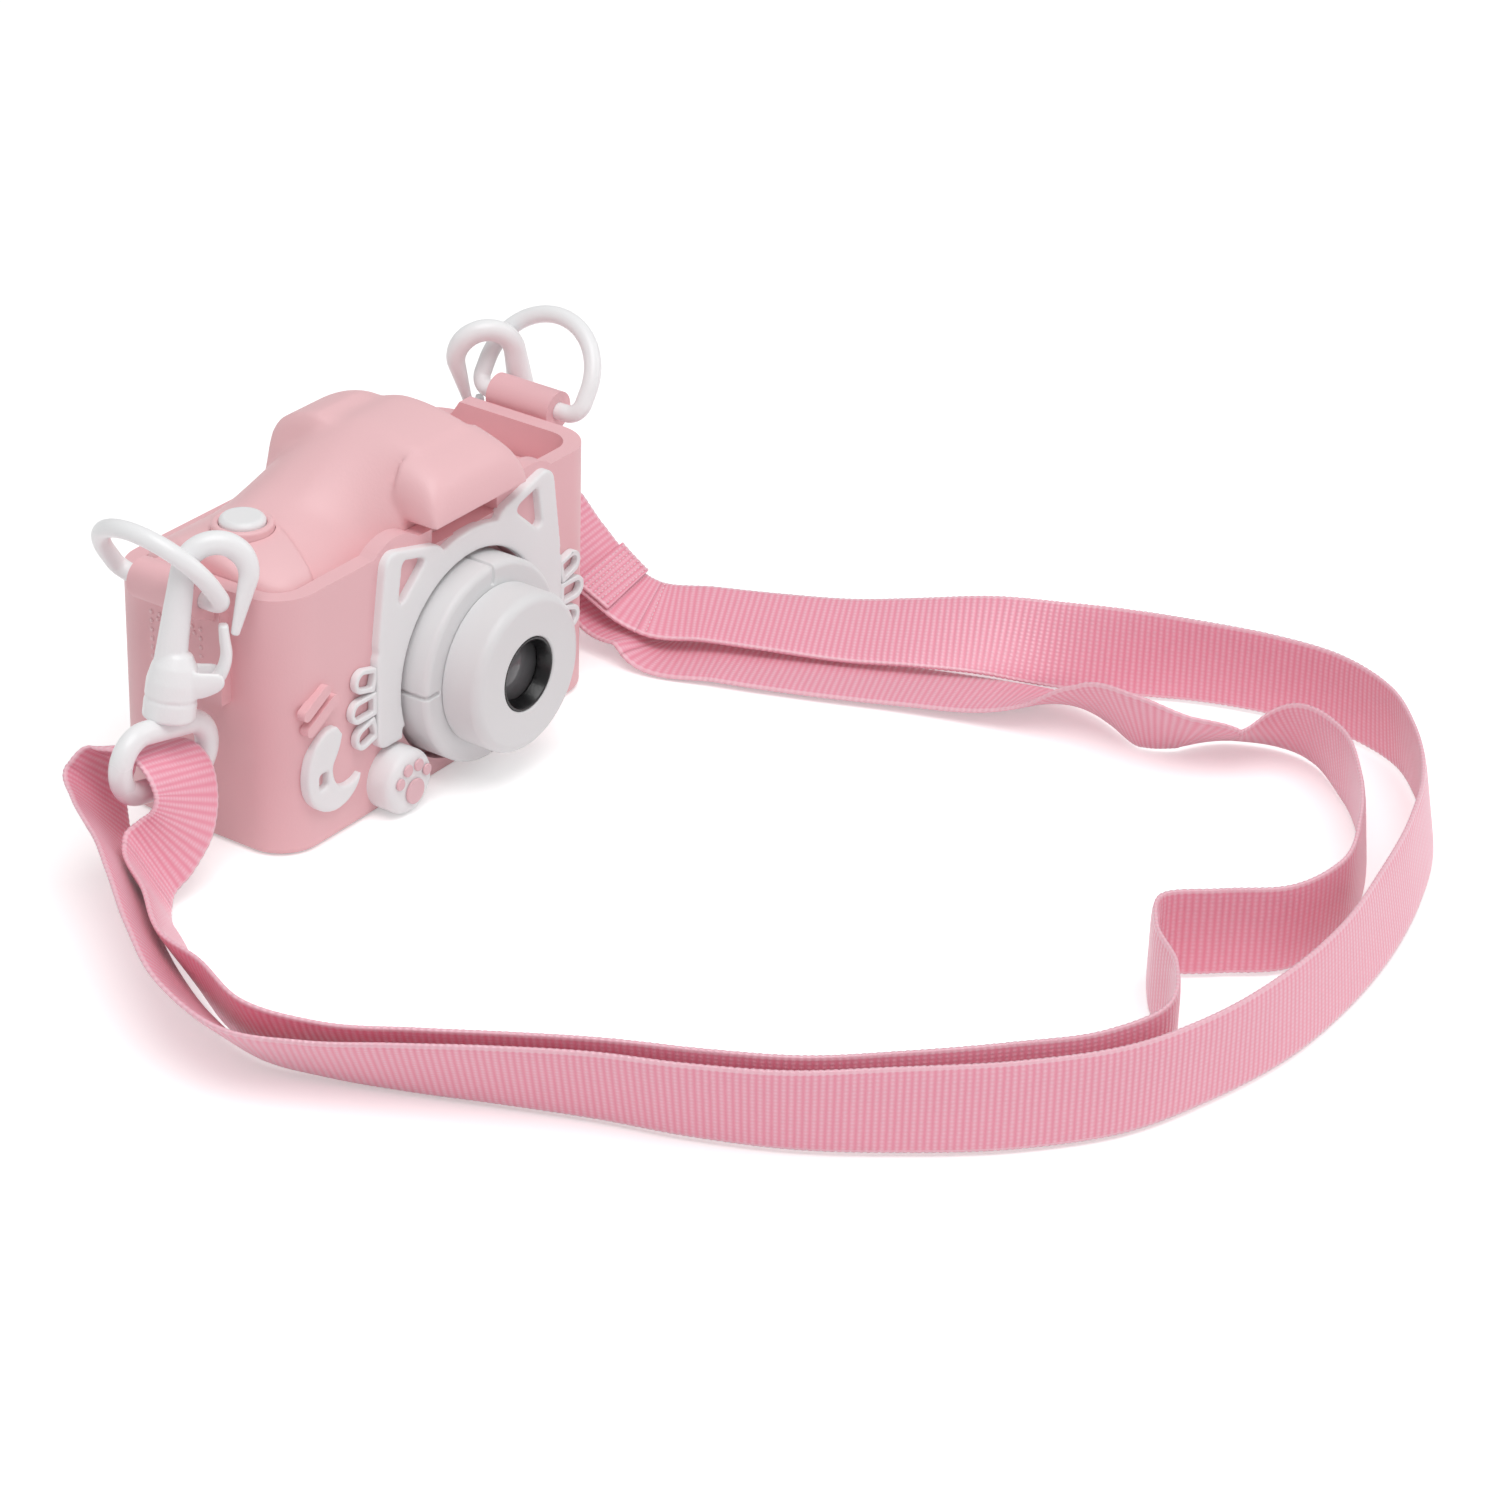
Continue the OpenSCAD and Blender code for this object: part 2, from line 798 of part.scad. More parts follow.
module shutter_button()
{
    color(white)
        translate([post_x, 0, 0])
        {
            translate([0, 0, shutter_top - shutter_cap])
                cylinder(r = shutter_r, h = shutter_cap - 0.6);
            translate([0, 0, shutter_top - 0.6])
                cylinder(r1 = shutter_r, r2 = shutter_r - 0.6, h = 0.6);
            translate([0, 0, stem_low])
                cylinder(r = stem_r, h = shutter_top - shutter_cap - stem_low);
        }
}

module switch_board()
{
    color(board_green)
        translate([post_x - 5, -5, shelf_z])
            cube([10, 10, board_t]);
}

module shutter_switch()
{
    low = shelf_z + board_t + seat_gap;
    color(dark)
        translate([post_x, 0, 0])
        {
            translate([-3, -3, low])
                cube([6, 6, switch_top - 0.8 - low]);
            translate([0, 0, switch_top - 0.8])
                cylinder(r = 1.5, h = 0.8);
        }
}

// Lens
base_front = case_y + seat_gap + base_len;
groove_w = 0.7;
groove_d = 0.6;
base_bore = 7.4;
module turned_ring(r_in, r_out, len, e)
{
    rotate_extrude()
    {
        translate([r_in, 0])
            square([r_out - r_in, len - e]);
        translate([r_in, 0])
            square([r_out - r_in - e, len]);
        translate([r_out - e, len - e])
            circle(e);
    }
}

module lens_base()
{
    color(white)
        at_lens(-case_y - seat_gap)
            difference()
            {
                turned_ring(base_bore, base_r, base_len, 1.2);
                for (a = [0, 90, 180, 270])
                    rotate([0, 0, a])
                    {
                        translate([barrel_r + 0.2, -groove_w / 2, base_len - groove_d])
                            cube([base_r, groove_w, 2 * groove_d]);
                        translate([base_r - groove_d, -groove_w / 2, -cut])
                            cube([2 * groove_d, groove_w, base_len + 2 * cut]);
                    }
            }
}

barrel_floor = 3;
module lens_barrel()
{
    color(white)
        at_lens(-base_front - seat_gap)
            difference()
            {
                turned_ring(cup_r + run_gap, barrel_r, barrel_len, 1.8);
                translate([0, 0, -cut])
                    cylinder(r = base_bore, h = cut + barrel_floor - 1);
            }
}

glass_r = cup_r - 1.1;
cup_len = 4.2;
glass_t = 0.8;
cup_back = base_front + seat_gap + barrel_len - 0.2 - cup_len;
module lens_cup()
{
    color(dark)
        at_lens(-cup_back)
            difference()
            {
                cylinder(r = cup_r, h = cup_len);
                translate([0, 0, 1 + glass_t])
                    cylinder(r1 = glass_r - 0.3, r2 = cup_r - 0.4, h = cup_len - 1 - glass_t + 0.01);
                translate([0, 0, 1])
                    cylinder(r = glass_r + run_gap, h = glass_t + 0.1);
                translate([0, 0, -cut])
                    cylinder(r = glass_r - 0.6, h = 2);
            }
}

module lens_glass()
{
    color([0.3, 0.32, 0.34])
        at_lens(-cup_back - 1 - seat_gap)
            cylinder(r = glass_r, h = glass_t - 2 * seat_gap);
}

module_w = 13;
module_t = 5.2;
tube_r = 4.8;
module lens_module()
{
    color(dark)
    {
        translate([lens_x - module_w / 2, -in_y + seat_gap, lens_z - module_w / 2])
            cube([module_w, module_t, module_w]);
        at_lens(-in_y + seat_gap)
            cylinder(r = tube_r, h = cup_back - in_y - seat_gap - 0.1);
    }
}

sensor_w = 15;
module sensor_board()
{
    color(board_green)
        translate([lens_x - sensor_w / 2, -in_y + 2 * seat_gap + module_t, lens_z - sensor_w / 2])
            cube([sensor_w, board_t, sensor_w]);
}

// Inside the case
battery_size = [23, 6.2, seam_z - in_z - 5];
module main_board()
{
    color(board_green)
        translate([-board_x, board_y, board_low])
            cube([2 * board_x, board_t, board_high - board_low]);
}

module battery()
{
    color(metal)
        translate([-boss_x + boss_r + 0.2, -in_y + seat_gap, in_z + seat_gap])
            cube(battery_size);
}

speaker_r = 8.5;
module speaker()
{
    color(dark)
        translate([22.8, -in_y + seat_gap, lens_z])
            rotate([-90, 0, 0])
            {
                cylinder(r = speaker_r, h = 1.5);
                cylinder(r = speaker_r - 2.5, h = 4);
            }
}

module display_panel()
{
    low = board_y + board_t + seat_gap;
    high = in_y - seat_gap;
    color(dark)
        translate([screen_x - screen_w / 2 - panel_rim, low, screen_low - panel_rim])
            cube([screen_w + 2 * panel_rim, high - low, screen_high - screen_low + 2 * panel_rim]);
}

module screen_window()
{
    color(dark)
        on_front(case_y - 0.05, screen_t - 0.05 - seat_gap)
            screen_plan(0, 0);
}

module key(dx, dz)
{
    color(white)
        at_key(dx, dz, case_y + key_proud)
        {
            cylinder(r1 = key_r - 0.3, r2 = key_r, h = 0.3);
            translate([0, 0, 0.3])
                cylinder(r = key_r, h = key_proud + case_wall + key_play - 0.3);
            translate([0, 0, key_proud + case_wall + key_play])
                cylinder(r = key_r + key_flange, h = key_flange_t);
        }
}

module button_up()
{
    key(0, key_step);
}

module button_down()
{
    key(0, -key_step);
}

module button_left()
{
    key(-key_step, 0);
}

module button_right()
{
    key(key_step, 0);
}

module button_ok()
{
    key(0, 0);
}

module button_power()
{
    key(power_dx, power_dz);
}

module rear_switches()
{
    low = board_y + board_t + seat_gap;
    high = in_y - key_play - key_flange_t - key_travel - 0.1;
    color(dark)
        for (k = [[0, 0], [0, key_step], [0, -key_step], [key_step, 0], [-key_step, 0], [power_dx, power_dz]])
            translate([key_x + k[0] - 2, low, key_z + k[1] - 2])
                cube([4, high - low, 4]);
}

module usb_socket()
{
    color(metal)
        translate([case_x - 1 - usb_size[0], board_y - seat_gap - usb_size[1], usb_low])
            difference()
            {
                cube(usb_size);
                translate([usb_size[0] - 5, 0.4, 0.4])
                    cube([6, usb_size[1] - 0.8, usb_size[2] - 0.8]);
            }
}

module card_socket()
{
    color(metal)
        translate([case_x - 1 - card_size[0], board_y - seat_gap - card_size[1], card_low])
            difference()
            {
                cube(card_size);
                translate([card_size[0] - 9, 0.4, 0.4])
                    cube([10, card_size[1] - 0.8, card_size[2] - 0.8]);
            }
}

// Strap hardware, drawn for the left side; the right side is turned by half a turn
ring_bend = 2.5;
ring_leg = 2.2;
ring_bar = ring_r - ring_bend;
ring_up = ring_bend + ring_leg;
swivel = [-lug_x - 8.4, -6.5, lug_z - 13.8];
lean = [0, 12.2, 0];
hook_turn = -43;

module wire_arc(c, r, wire, from, to)
{
    translate(c)
        rotate([90, 0, 0])
            rotate([0, 0, from])
                rotate_extrude(angle = to - from)
                    translate([r, 0])
                        circle(wire);
}

module wire_bar(a, b, wire)
{
    v = b - a;
    translate(a)
        rotate([0, acos(v[2] / norm(v)), atan2(v[1], v[0])])
            cylinder(r = wire, h = norm(v));
}

module d_ring()
{
    rotate([0, 0, 90])
    {
        wire_bar([-ring_bar, 0, 0], [ring_bar, 0, 0], ring_wire);
        wire_arc([ring_bar, 0, ring_bend], ring_bend, ring_wire, -90, 0);
        wire_bar([ring_r, 0, ring_bend], [ring_r, 0, ring_up], ring_wire);
        wire_arc([0, 0, ring_up], ring_r, ring_wire, 0, 180);
        wire_bar([-ring_r, 0, ring_bend], [-ring_r, 0, ring_up], ring_wire);
        wire_arc([-ring_bar, 0, ring_bend], ring_bend, ring_wire, 180, 270);
    }
}

module other_side()
{
    rotate([0, 0, 180])
        children();
}

module clip_place()
{
    translate(swivel)
        rotate(lean)
            children();
}

collar_len = 3.4;
swivel_r = 4.1;
swivel_bore = 1.6;
swivel_head = 2.6;
swivel_head_t = 1.5;
swivel_room = 2.1;
bight_r = 4.7;
bight_z = 20.5;
nose_low = 10;
arm_low = 2;
arm_high = 4.4;
gate_s = 6.4;
gate_z = 3.8;
gate_pin = 0.7;
gate_barrel = 1.5;
gate_half = 1.6;
gate_top = 12.6;
cheek_in = 1.9;
cheek_out = 3;

module hook()
{
    clip_place()
        rotate([0, 0, hook_turn])
        {
            difference()
            {
                translate([0, 0, -collar_len])
                    cylinder(r = swivel_r, h = collar_len + arm_high);
                translate([0, 0, -collar_len - cut])
                    cylinder(r = swivel_bore + run_gap, h = collar_len + 2 * cut);
                cylinder(r = swivel_head + run_gap, h = swivel_room);
            }
            for (s = [-1, 1])
                translate([0, s > 0 ? cheek_in : -cheek_out, 0])
                    rotate([90, 0, 0])
                        translate([0, 0, -(cheek_out - cheek_in)])
                            linear_extrude(cheek_out - cheek_in)
                            {
                                translate([2, arm_low - 0.4])
                                    square([gate_s - 2, arm_high - arm_low + 1.6]);
                                translate([gate_s, gate_z])
                                    circle(2.2);
                            }
            translate([gate_s, cheek_out, gate_z])
                rotate([90, 0, 0])
                    cylinder(r = gate_pin, h = 2 * cheek_out);
            wire_bar([0, 0, arm_high - 0.5], [0, 0, bight_z], hook_wire);
            wire_arc([bight_r, 0, bight_z], bight_r, hook_wire, 0, 180);
            wire_bar([2 * bight_r, 0, nose_low], [2 * bight_r, 0, bight_z], hook_wire);
            translate([2 * bight_r, 0, nose_low])
                sphere(hook_wire);
        }
}

module gate()
{
    clip_place()
        rotate([0, 0, hook_turn])
            translate([0, gate_half, 0])
                rotate([90, 0, 0])
                    linear_extrude(2 * gate_half)
                        difference()
                        {
                            union()
                            {
                                translate([gate_s, gate_z])
                                    circle(gate_barrel);
                                polygon([[gate_s - 0.6, gate_z], [gate_s + 1, gate_z], [gate_s + 1, gate_z + 3],
                                    [gate_s + 0.6, gate_top - 3], [gate_s + 0.6, gate_top], [gate_s - 0.7, gate_top],
                                    [gate_s - 0.7, gate_top - 3], [gate_s - 0.4, gate_z + 3]]);
                            }
                            translate([gate_s, gate_z])
                                circle(gate_pin + run_gap);
                        }
}

eye_half = 5.2;
eye_bend = 4.5;
eye_top = -collar_len - 0.3 - eye_wire;
module eye()
{
    mid = eye_top - eye_bend;
    clip_place()
    {
        wire_bar([-eye_half, 0, eye_top], [eye_half, 0, eye_top], eye_wire);
        wire_bar([-eye_half, 0, eye_top - 2 * eye_bend], [eye_half, 0, eye_top - 2 * eye_bend], eye_wire);
        wire_arc([eye_half, 0, mid], eye_bend, eye_wire, -90, 90);
        wire_arc([-eye_half, 0, mid], eye_bend, eye_wire, 90, 270);
        translate([0, 0, eye_top])
            cylinder(r = swivel_bore, h = 0.3 - eye_top);
        translate([0, 0, 0.3])
            cylinder(r = swivel_head, h = swivel_head_t);
    }
}

module left_ring()
{
    color(white)
        translate([-lug_x, 0, lug_z])
            rotate([0, -ring_tilt, 0])
                d_ring();
}

module right_ring()
{
    other_side()
        left_ring();
}

module left_hook()
{
    color(white)
        hook();
}

module right_hook()
{
    color(white)
        other_side()
            hook();
}

module left_gate()
{
    color(white)
        gate();
}

module right_gate()
{
    color(white)
        other_side()
            gate();
}

module left_eye()
{
    color(white)
        eye();
}

module right_eye()
{
    color(white)
        other_side()
            eye();
}

// Strap: each row is a point of the middle line and the direction across the ribbon
outer_route = [[59, -16.5, 6, 0.87, 0.44, 0.22], [64, -26, 5.6, 0.87, 0.44, 0.22], [69, -37, 5.4, 0.86, 0.43, 0.26],
    [74, -48.5, 5.5, 0.84, 0.42, 0.34], [79, -60, 6.7, 0.8, 0.4, 0.45], [84, -71, 7.6, 0.7, 0.35, 0.63],
    [88.5, -82, 7.5, 0.5, 0.25, 0.83], [93, -93, 7.7, 0.26, 0.13, 0.95], [97, -104, 8, 0.06, 0.03, 1],
    [100.5, -117, 8.1, 0, 0, 1], [101.5, -129, 8.1, -0.05, 0.02, 1], [97, -142.5, 8, -0.1, 0.1, 0.98],
    [87.5, -152, 8, -0.05, 0.15, 0.98], [74, -161, 8, 0, 0.2, 0.97], [58, -167, 8, 0, 0.2, 0.97],
    [41, -171, 8, 0, 0.2, 0.97], [23, -173.5, 8, 0, 0.12, 0.99], [5, -173.5, 8.1, 0, 0.08, 1],
    [-12, -170.5, 8.1, 0, 0, 1], [-27, -165, 8.1, 0, 0, 1], [-40, -155, 8.1, 0, 0, 1],
    [-52.5, -141, 8.1, -0.05, -0.03, 1], [-61.5, -129, 8, -0.15, -0.08, 0.98], [-68, -116, 7.9, -0.22, -0.11, 0.97],
    [-73, -102.5, 7.7, -0.29, -0.14, 0.95], [-79, -89.5, 7.4, -0.38, -0.18, 0.91], [-85, -77, 6.9, -0.48, -0.2, 0.85],
    [-90.5, -65, 6.6, -0.6, -0.2, 0.77], [-94.5, -54.5, 7.4, -0.7, -0.08, 0.71], [-93, -43, 9.3, -0.66, 0.16, 0.73],
    [-87.5, -32, 11, -0.52, 0.26, 0.81], [-80, -21, 12.2, -0.42, 0.28, 0.86], [-72, -10, 13, -0.46, 0.26, 0.84]];
inner_route = [[-67.7, -12.8, 8.4, -0.42, 0.24, 0.86], [-76, -23.8, 8.2, -0.38, 0.24, 0.88], [-83.6, -34.4, 8, -0.44, 0.22, 0.86],
    [-87, -43, 7.9, -0.35, 0.06, 0.93], [-89.5, -53, 7.4, -0.5, -0.1, 0.86], [-86, -65, 7.1, -0.56, -0.2, 0.8],
    [-80.5, -77.5, 7.3, -0.46, -0.2, 0.86], [-74.5, -90, 7.6, -0.37, -0.18, 0.91], [-69, -102.5, 7.9, -0.28, -0.14, 0.95],
    [-63.5, -116, 8, -0.21, -0.1, 0.97], [-57, -128.5, 8, -0.14, -0.08, 0.98], [-48, -140, 8.1, -0.04, -0.02, 1],
    [-37, -151, 8.1, 0, 0, 1], [-26, -160, 8.1, 0, 0, 1], [-14, -163.5, 8.1, 0, 0, 1], [-3, -158.5, 8.1, 0, 0, 1],
    [5.5, -150, 8.1, 0, 0, 1], [13, -146.5, 8.1, 0, 0, 1], [20, -153, 8.1, 0, 0, 1], [27.5, -161, 8.1, 0, 0, 1],
    [39, -163.5, 8.1, 0, 0, 1], [54, -159.5, 8.1, -0.03, 0.08, 1], [68, -152, 8.1, -0.05, 0.1, 0.99],
    [79.5, -142.5, 8.1, -0.15, 0.06, 0.98], [86, -130.5, 7.2, -0.5, -0.06, 0.86], [82.5, -121, 5.1, -0.8, -0.3, 0.52],
    [76, -115, 6.4, -0.6, -0.3, 0.74], [73.5, -107, 7.2, -0.45, -0.22, 0.87], [75, -98, 6.2, -0.63, -0.31, 0.71],
    [75.8, -89, 4.2, -0.84, -0.38, 0.36], [73.9, -78.5, 2.2, -0.9, -0.43, 0.12], [69.5, -64, 1.3, -0.9, -0.44, 0.03],
    [63.5, -49, 1.1, -0.9, -0.44, 0], [58, -34, 1.1, -0.9, -0.44, 0], [54, -20, 1.3, -0.9, -0.44, 0]];
left_loop_route = [[-71.6, -9.4, 13.1, -0.47, 0.26, 0.83], [-66, -2, 14, -0.64, 0.2, 0.73], [-61.2, 3, 16.6, -0.82, 0.1, 0.55],
    [-58, 2.4, 20.4, -0.92, 0.04, 0.38], [-56.2, -2, 22.7, -0.96, 0, 0.28], [-55.6, -6, 22.9, -0.97, 0, 0.22],
    [-56, -9.6, 21, -0.97, 0, 0.22], [-57, -11.8, 17.4, -0.95, 0, 0.3], [-59.4, -12.6, 13.4, -0.83, 0.12, 0.52],
    [-62.5, -11.9, 10.6, -0.62, 0.22, 0.74], [-65.4, -11.4, 9, -0.46, 0.23, 0.84]];
right_loop_route = [[58, -13.6, 7.2, 0.9, 0.4, 0.22], [57.3, -9.5, 9.8, 0.92, 0.33, 0.24], [56.4, -3, 15, 0.95, 0.15, 0.26],
    [55.8, 2.5, 20.4, 0.97, 0.03, 0.22], [55.6, 6.5, 22.9, 0.97, 0, 0.22], [55.9, 10.5, 21, 0.97, 0, 0.22],
    [56.5, 11.8, 17, 0.97, 0, 0.22], [57, 10, 13, 0.97, 0, 0.22], [57, 4.5, 10.2, 0.97, 0.05, 0.2],
    [56.2, -3.5, 7, 0.95, 0.2, 0.15], [55.2, -11, 3.9, 0.92, 0.35, 0.08], [54.5, -17.4, 2.3, 0.9, 0.42, 0]];

function mid(r, k) = [r[k][0], r[k][1], r[k][2]];
function across(r, k) = [r[k][3], r[k][4], r[k][5]];
function along(r, k) = unit(mid(r, min(k + 1, len(r) - 1)) - mid(r, max(k - 1, 0)));
function section(w, t) =
    let (c = 0.3 * t)
    [[w, t - c], [w - c, t], [c - w, t], [-w, t - c], [-w, c - t], [c - w, -t], [w - c, -t], [w, c - t]];
function ribbon_ring(r, k) =
    let (t = along(r, k))
    let (w = unit(across(r, k) - t * (across(r, k) * t)))
    let (n = cross(t, w))
    [for (p = section(strap_w / 2, strap_t / 2)) mid(r, k) + p[0] * w + p[1] * n];

module ribbon(r)
{
    n = len(r);
    points = [for (k = [0:n - 1]) each ribbon_ring(r, k)];
    sides = [for (k = [0:n - 2], i = [0:7])
        let (a = 8 * k + i)
        let (b = 8 * k + (i + 1) % 8)
        each [[b, a, a + 8], [b, a + 8, b + 8]]];
    first = [for (i = [0:7]) i];
    last = [for (i = [7:-1:0]) 8 * (n - 1) + i];
    color(strap_pink)
        polyhedron(points, concat(sides, [first], [last]));
}

module strap_outer_run()
{
    ribbon(outer_route);
}

module strap_inner_run()
{
    ribbon(inner_route);
}

module strap_left_loop()
{
    ribbon(left_loop_route);
}

module strap_right_loop()
{
    ribbon(right_loop_route);
}

silicone_cover();
cat_frame();
left_cheek_tuft();
right_cheek_tuft();
tail_relief();
paw_relief();
paw_pads();
front_shell();
rear_shell();
top_shell();
shutter_collar();
shutter_button();
shutter_switch();
switch_board();
lens_base();
lens_barrel();
lens_cup();
lens_glass();
lens_module();
sensor_board();
main_board();
battery();
speaker();
display_panel();
screen_window();
button_up();
button_down();
button_left();
button_right();
button_ok();
button_power();
rear_switches();
usb_socket();
card_socket();
case_screws();
left_ring();
right_ring();
left_hook();
right_hook();
left_gate();
right_gate();
left_eye();
right_eye();
strap_outer_run();
strap_inner_run();
strap_left_loop();
strap_right_loop();
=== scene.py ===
"""Toy camera in a soft cat-eared cover, on a flat neck strap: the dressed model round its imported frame."""

import json
import math

import bmesh
import bpy
import numpy as np
from bpy.props import FloatProperty, FloatVectorProperty, IntProperty, PointerProperty
from mathutils import Matrix, Vector

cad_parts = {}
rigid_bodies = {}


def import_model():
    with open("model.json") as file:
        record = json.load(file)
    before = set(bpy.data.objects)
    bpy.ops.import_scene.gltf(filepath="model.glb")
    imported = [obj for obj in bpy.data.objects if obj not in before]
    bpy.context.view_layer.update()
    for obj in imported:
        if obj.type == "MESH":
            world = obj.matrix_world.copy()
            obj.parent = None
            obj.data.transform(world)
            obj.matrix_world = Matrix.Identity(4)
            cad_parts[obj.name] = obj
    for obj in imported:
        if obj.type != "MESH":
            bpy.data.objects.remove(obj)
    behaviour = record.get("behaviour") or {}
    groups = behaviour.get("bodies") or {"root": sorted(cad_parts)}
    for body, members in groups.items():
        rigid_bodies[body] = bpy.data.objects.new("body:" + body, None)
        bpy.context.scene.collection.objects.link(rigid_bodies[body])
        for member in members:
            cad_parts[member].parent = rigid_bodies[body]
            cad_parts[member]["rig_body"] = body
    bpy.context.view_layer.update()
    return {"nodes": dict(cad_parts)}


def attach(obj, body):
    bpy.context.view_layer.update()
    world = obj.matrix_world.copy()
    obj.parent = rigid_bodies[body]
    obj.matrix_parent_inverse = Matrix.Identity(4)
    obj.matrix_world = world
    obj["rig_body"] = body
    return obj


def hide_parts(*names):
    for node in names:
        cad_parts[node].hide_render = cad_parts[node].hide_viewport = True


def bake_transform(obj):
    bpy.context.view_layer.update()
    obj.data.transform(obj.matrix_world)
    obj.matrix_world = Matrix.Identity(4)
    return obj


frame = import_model()

bl_info = {
    "name": "Toy camera dresser",
    "version": (1, 0, 0),
    "blender": (4, 5, 0),
    "location": "View3D > Sidebar > Toy camera",
    "description": "Builds the strap, the soft cover, the case and the stage of a toy camera",
    "category": "Object",
}

MM = 0.001

# Routes of the strap: middle of the ribbon in millimetres, then the direction across it
ROW_UNITS = [MM, MM, MM, 1, 1, 1]
OUTER_ROUTE = np.array([
    [59, -16.5, 6, 0.87, 0.44, 0.22], [64, -26, 5.6, 0.87, 0.44, 0.22], [69, -37, 5.4, 0.86, 0.43, 0.26],
    [74, -48.5, 5.5, 0.84, 0.42, 0.34], [79, -60, 6.7, 0.8, 0.4, 0.45], [84, -71, 7.6, 0.7, 0.35, 0.63],
    [88.5, -82, 7.5, 0.5, 0.25, 0.83], [93, -93, 7.7, 0.26, 0.13, 0.95], [97, -104, 8, 0.06, 0.03, 1],
    [100.5, -117, 8.1, 0, 0, 1], [101.5, -129, 8.1, -0.05, 0.02, 1], [97, -142.5, 8, -0.1, 0.1, 0.98],
    [87.5, -152, 8, -0.05, 0.15, 0.98], [74, -161, 8, 0, 0.2, 0.97], [58, -167, 8, 0, 0.2, 0.97],
    [41, -171, 8, 0, 0.2, 0.97], [23, -173.5, 8, 0, 0.12, 0.99], [5, -173.5, 8.1, 0, 0.08, 1],
    [-12, -170.5, 8.1, 0, 0, 1], [-27, -165, 8.1, 0, 0, 1], [-40, -155, 8.1, 0, 0, 1],
    [-52.5, -141, 8.1, -0.05, -0.03, 1], [-61.5, -129, 8, -0.15, -0.08, 0.98],
    [-68, -116, 7.9, -0.22, -0.11, 0.97], [-73, -102.5, 7.7, -0.29, -0.14, 0.95],
    [-79, -89.5, 7.4, -0.38, -0.18, 0.91], [-85, -77, 6.9, -0.48, -0.2, 0.85],
    [-90.5, -65, 6.6, -0.6, -0.2, 0.77], [-94.5, -54.5, 7.4, -0.7, -0.08, 0.71],
    [-93, -43, 9.3, -0.66, 0.16, 0.73], [-87.5, -32, 11, -0.52, 0.26, 0.81],
    [-80, -21, 12.2, -0.42, 0.28, 0.86], [-72, -10, 13, -0.46, 0.26, 0.84],
]) * ROW_UNITS
INNER_ROUTE = np.array([
    [-67.7, -12.8, 8.4, -0.42, 0.24, 0.86], [-76, -23.8, 8.2, -0.38, 0.24, 0.88],
    [-83.6, -34.4, 8, -0.44, 0.22, 0.86], [-87, -43, 7.9, -0.35, 0.06, 0.93],
    [-89.5, -53, 7.4, -0.5, -0.1, 0.86], [-86, -65, 7.1, -0.56, -0.2, 0.8],
    [-80.5, -77.5, 7.3, -0.46, -0.2, 0.86], [-74.5, -90, 7.6, -0.37, -0.18, 0.91],
    [-69, -102.5, 7.9, -0.28, -0.14, 0.95], [-63.5, -116, 8, -0.21, -0.1, 0.97],
    [-57, -128.5, 8, -0.14, -0.08, 0.98], [-48, -140, 8.1, -0.04, -0.02, 1],
    [-37, -151, 8.1, 0, 0, 1], [-26, -160, 8.1, 0, 0, 1], [-14, -163.5, 8.1, 0, 0, 1],
    [-3, -158.5, 8.1, 0, 0, 1], [5.5, -150, 8.1, 0, 0, 1], [13, -146.5, 8.1, 0, 0, 1],
    [20, -153, 8.1, 0, 0, 1], [27.5, -161, 8.1, 0, 0, 1],
    [39, -163.5, 8.1, 0, 0, 1], [54, -159.5, 8.1, -0.03, 0.08, 1], [68, -152, 8.1, -0.05, 0.1, 0.99],
    [79.5, -142.5, 8.1, -0.15, 0.06, 0.98], [86, -130.5, 7.2, -0.5, -0.06, 0.86],
    [82.5, -121, 5.1, -0.8, -0.3, 0.52], [76, -115, 6.4, -0.6, -0.3, 0.74],
    [73.5, -107, 7.2, -0.45, -0.22, 0.87], [75, -98, 6.2, -0.63, -0.31, 0.71],
    [75.8, -89, 4.2, -0.84, -0.38, 0.36], [73.9, -78.5, 2.2, -0.9, -0.43, 0.12],
    [69.5, -64, 1.3, -0.9, -0.44, 0.03], [63.5, -49, 1.1, -0.9, -0.44, 0],
    [58, -34, 1.1, -0.9, -0.44, 0], [54, -20, 1.3, -0.9, -0.44, 0],
]) * ROW_UNITS
LEFT_LOOP = np.array([
    [-71.6, -9.4, 13.1, -0.47, 0.26, 0.83], [-66, -2, 14, -0.64, 0.2, 0.73],
    [-61.2, 3, 16.6, -0.82, 0.1, 0.55], [-58, 2.4, 20.4, -0.92, 0.04, 0.38],
    [-56.2, -2, 22.7, -0.96, 0, 0.28], [-55.6, -6, 22.9, -0.97, 0, 0.22],
    [-56, -9.6, 21, -0.97, 0, 0.22], [-57, -11.8, 17.4, -0.95, 0, 0.3],
    [-59.4, -12.6, 13.4, -0.83, 0.12, 0.52], [-62.5, -11.9, 10.6, -0.62, 0.22, 0.74],
    [-65.4, -11.4, 9, -0.46, 0.23, 0.84],
]) * ROW_UNITS
RIGHT_LOOP = np.array([
    [58, -13.6, 7.2, 0.9, 0.4, 0.22], [57.3, -9.5, 9.8, 0.92, 0.33, 0.24], [56.4, -3, 15, 0.95, 0.15, 0.26],
    [55.8, 2.5, 20.4, 0.97, 0.03, 0.22], [55.6, 6.5, 22.9, 0.97, 0, 0.22], [55.9, 10.5, 21, 0.97, 0, 0.22],
    [56.5, 11.8, 17, 0.97, 0, 0.22], [57, 10, 13, 0.97, 0, 0.22], [57, 4.5, 10.2, 0.97, 0.05, 0.2],
    [56.2, -3.5, 7, 0.95, 0.2, 0.15], [55.2, -11, 3.9, 0.92, 0.35, 0.08], [54.5, -17.4, 2.3, 0.9, 0.42, 0],
]) * ROW_UNITS


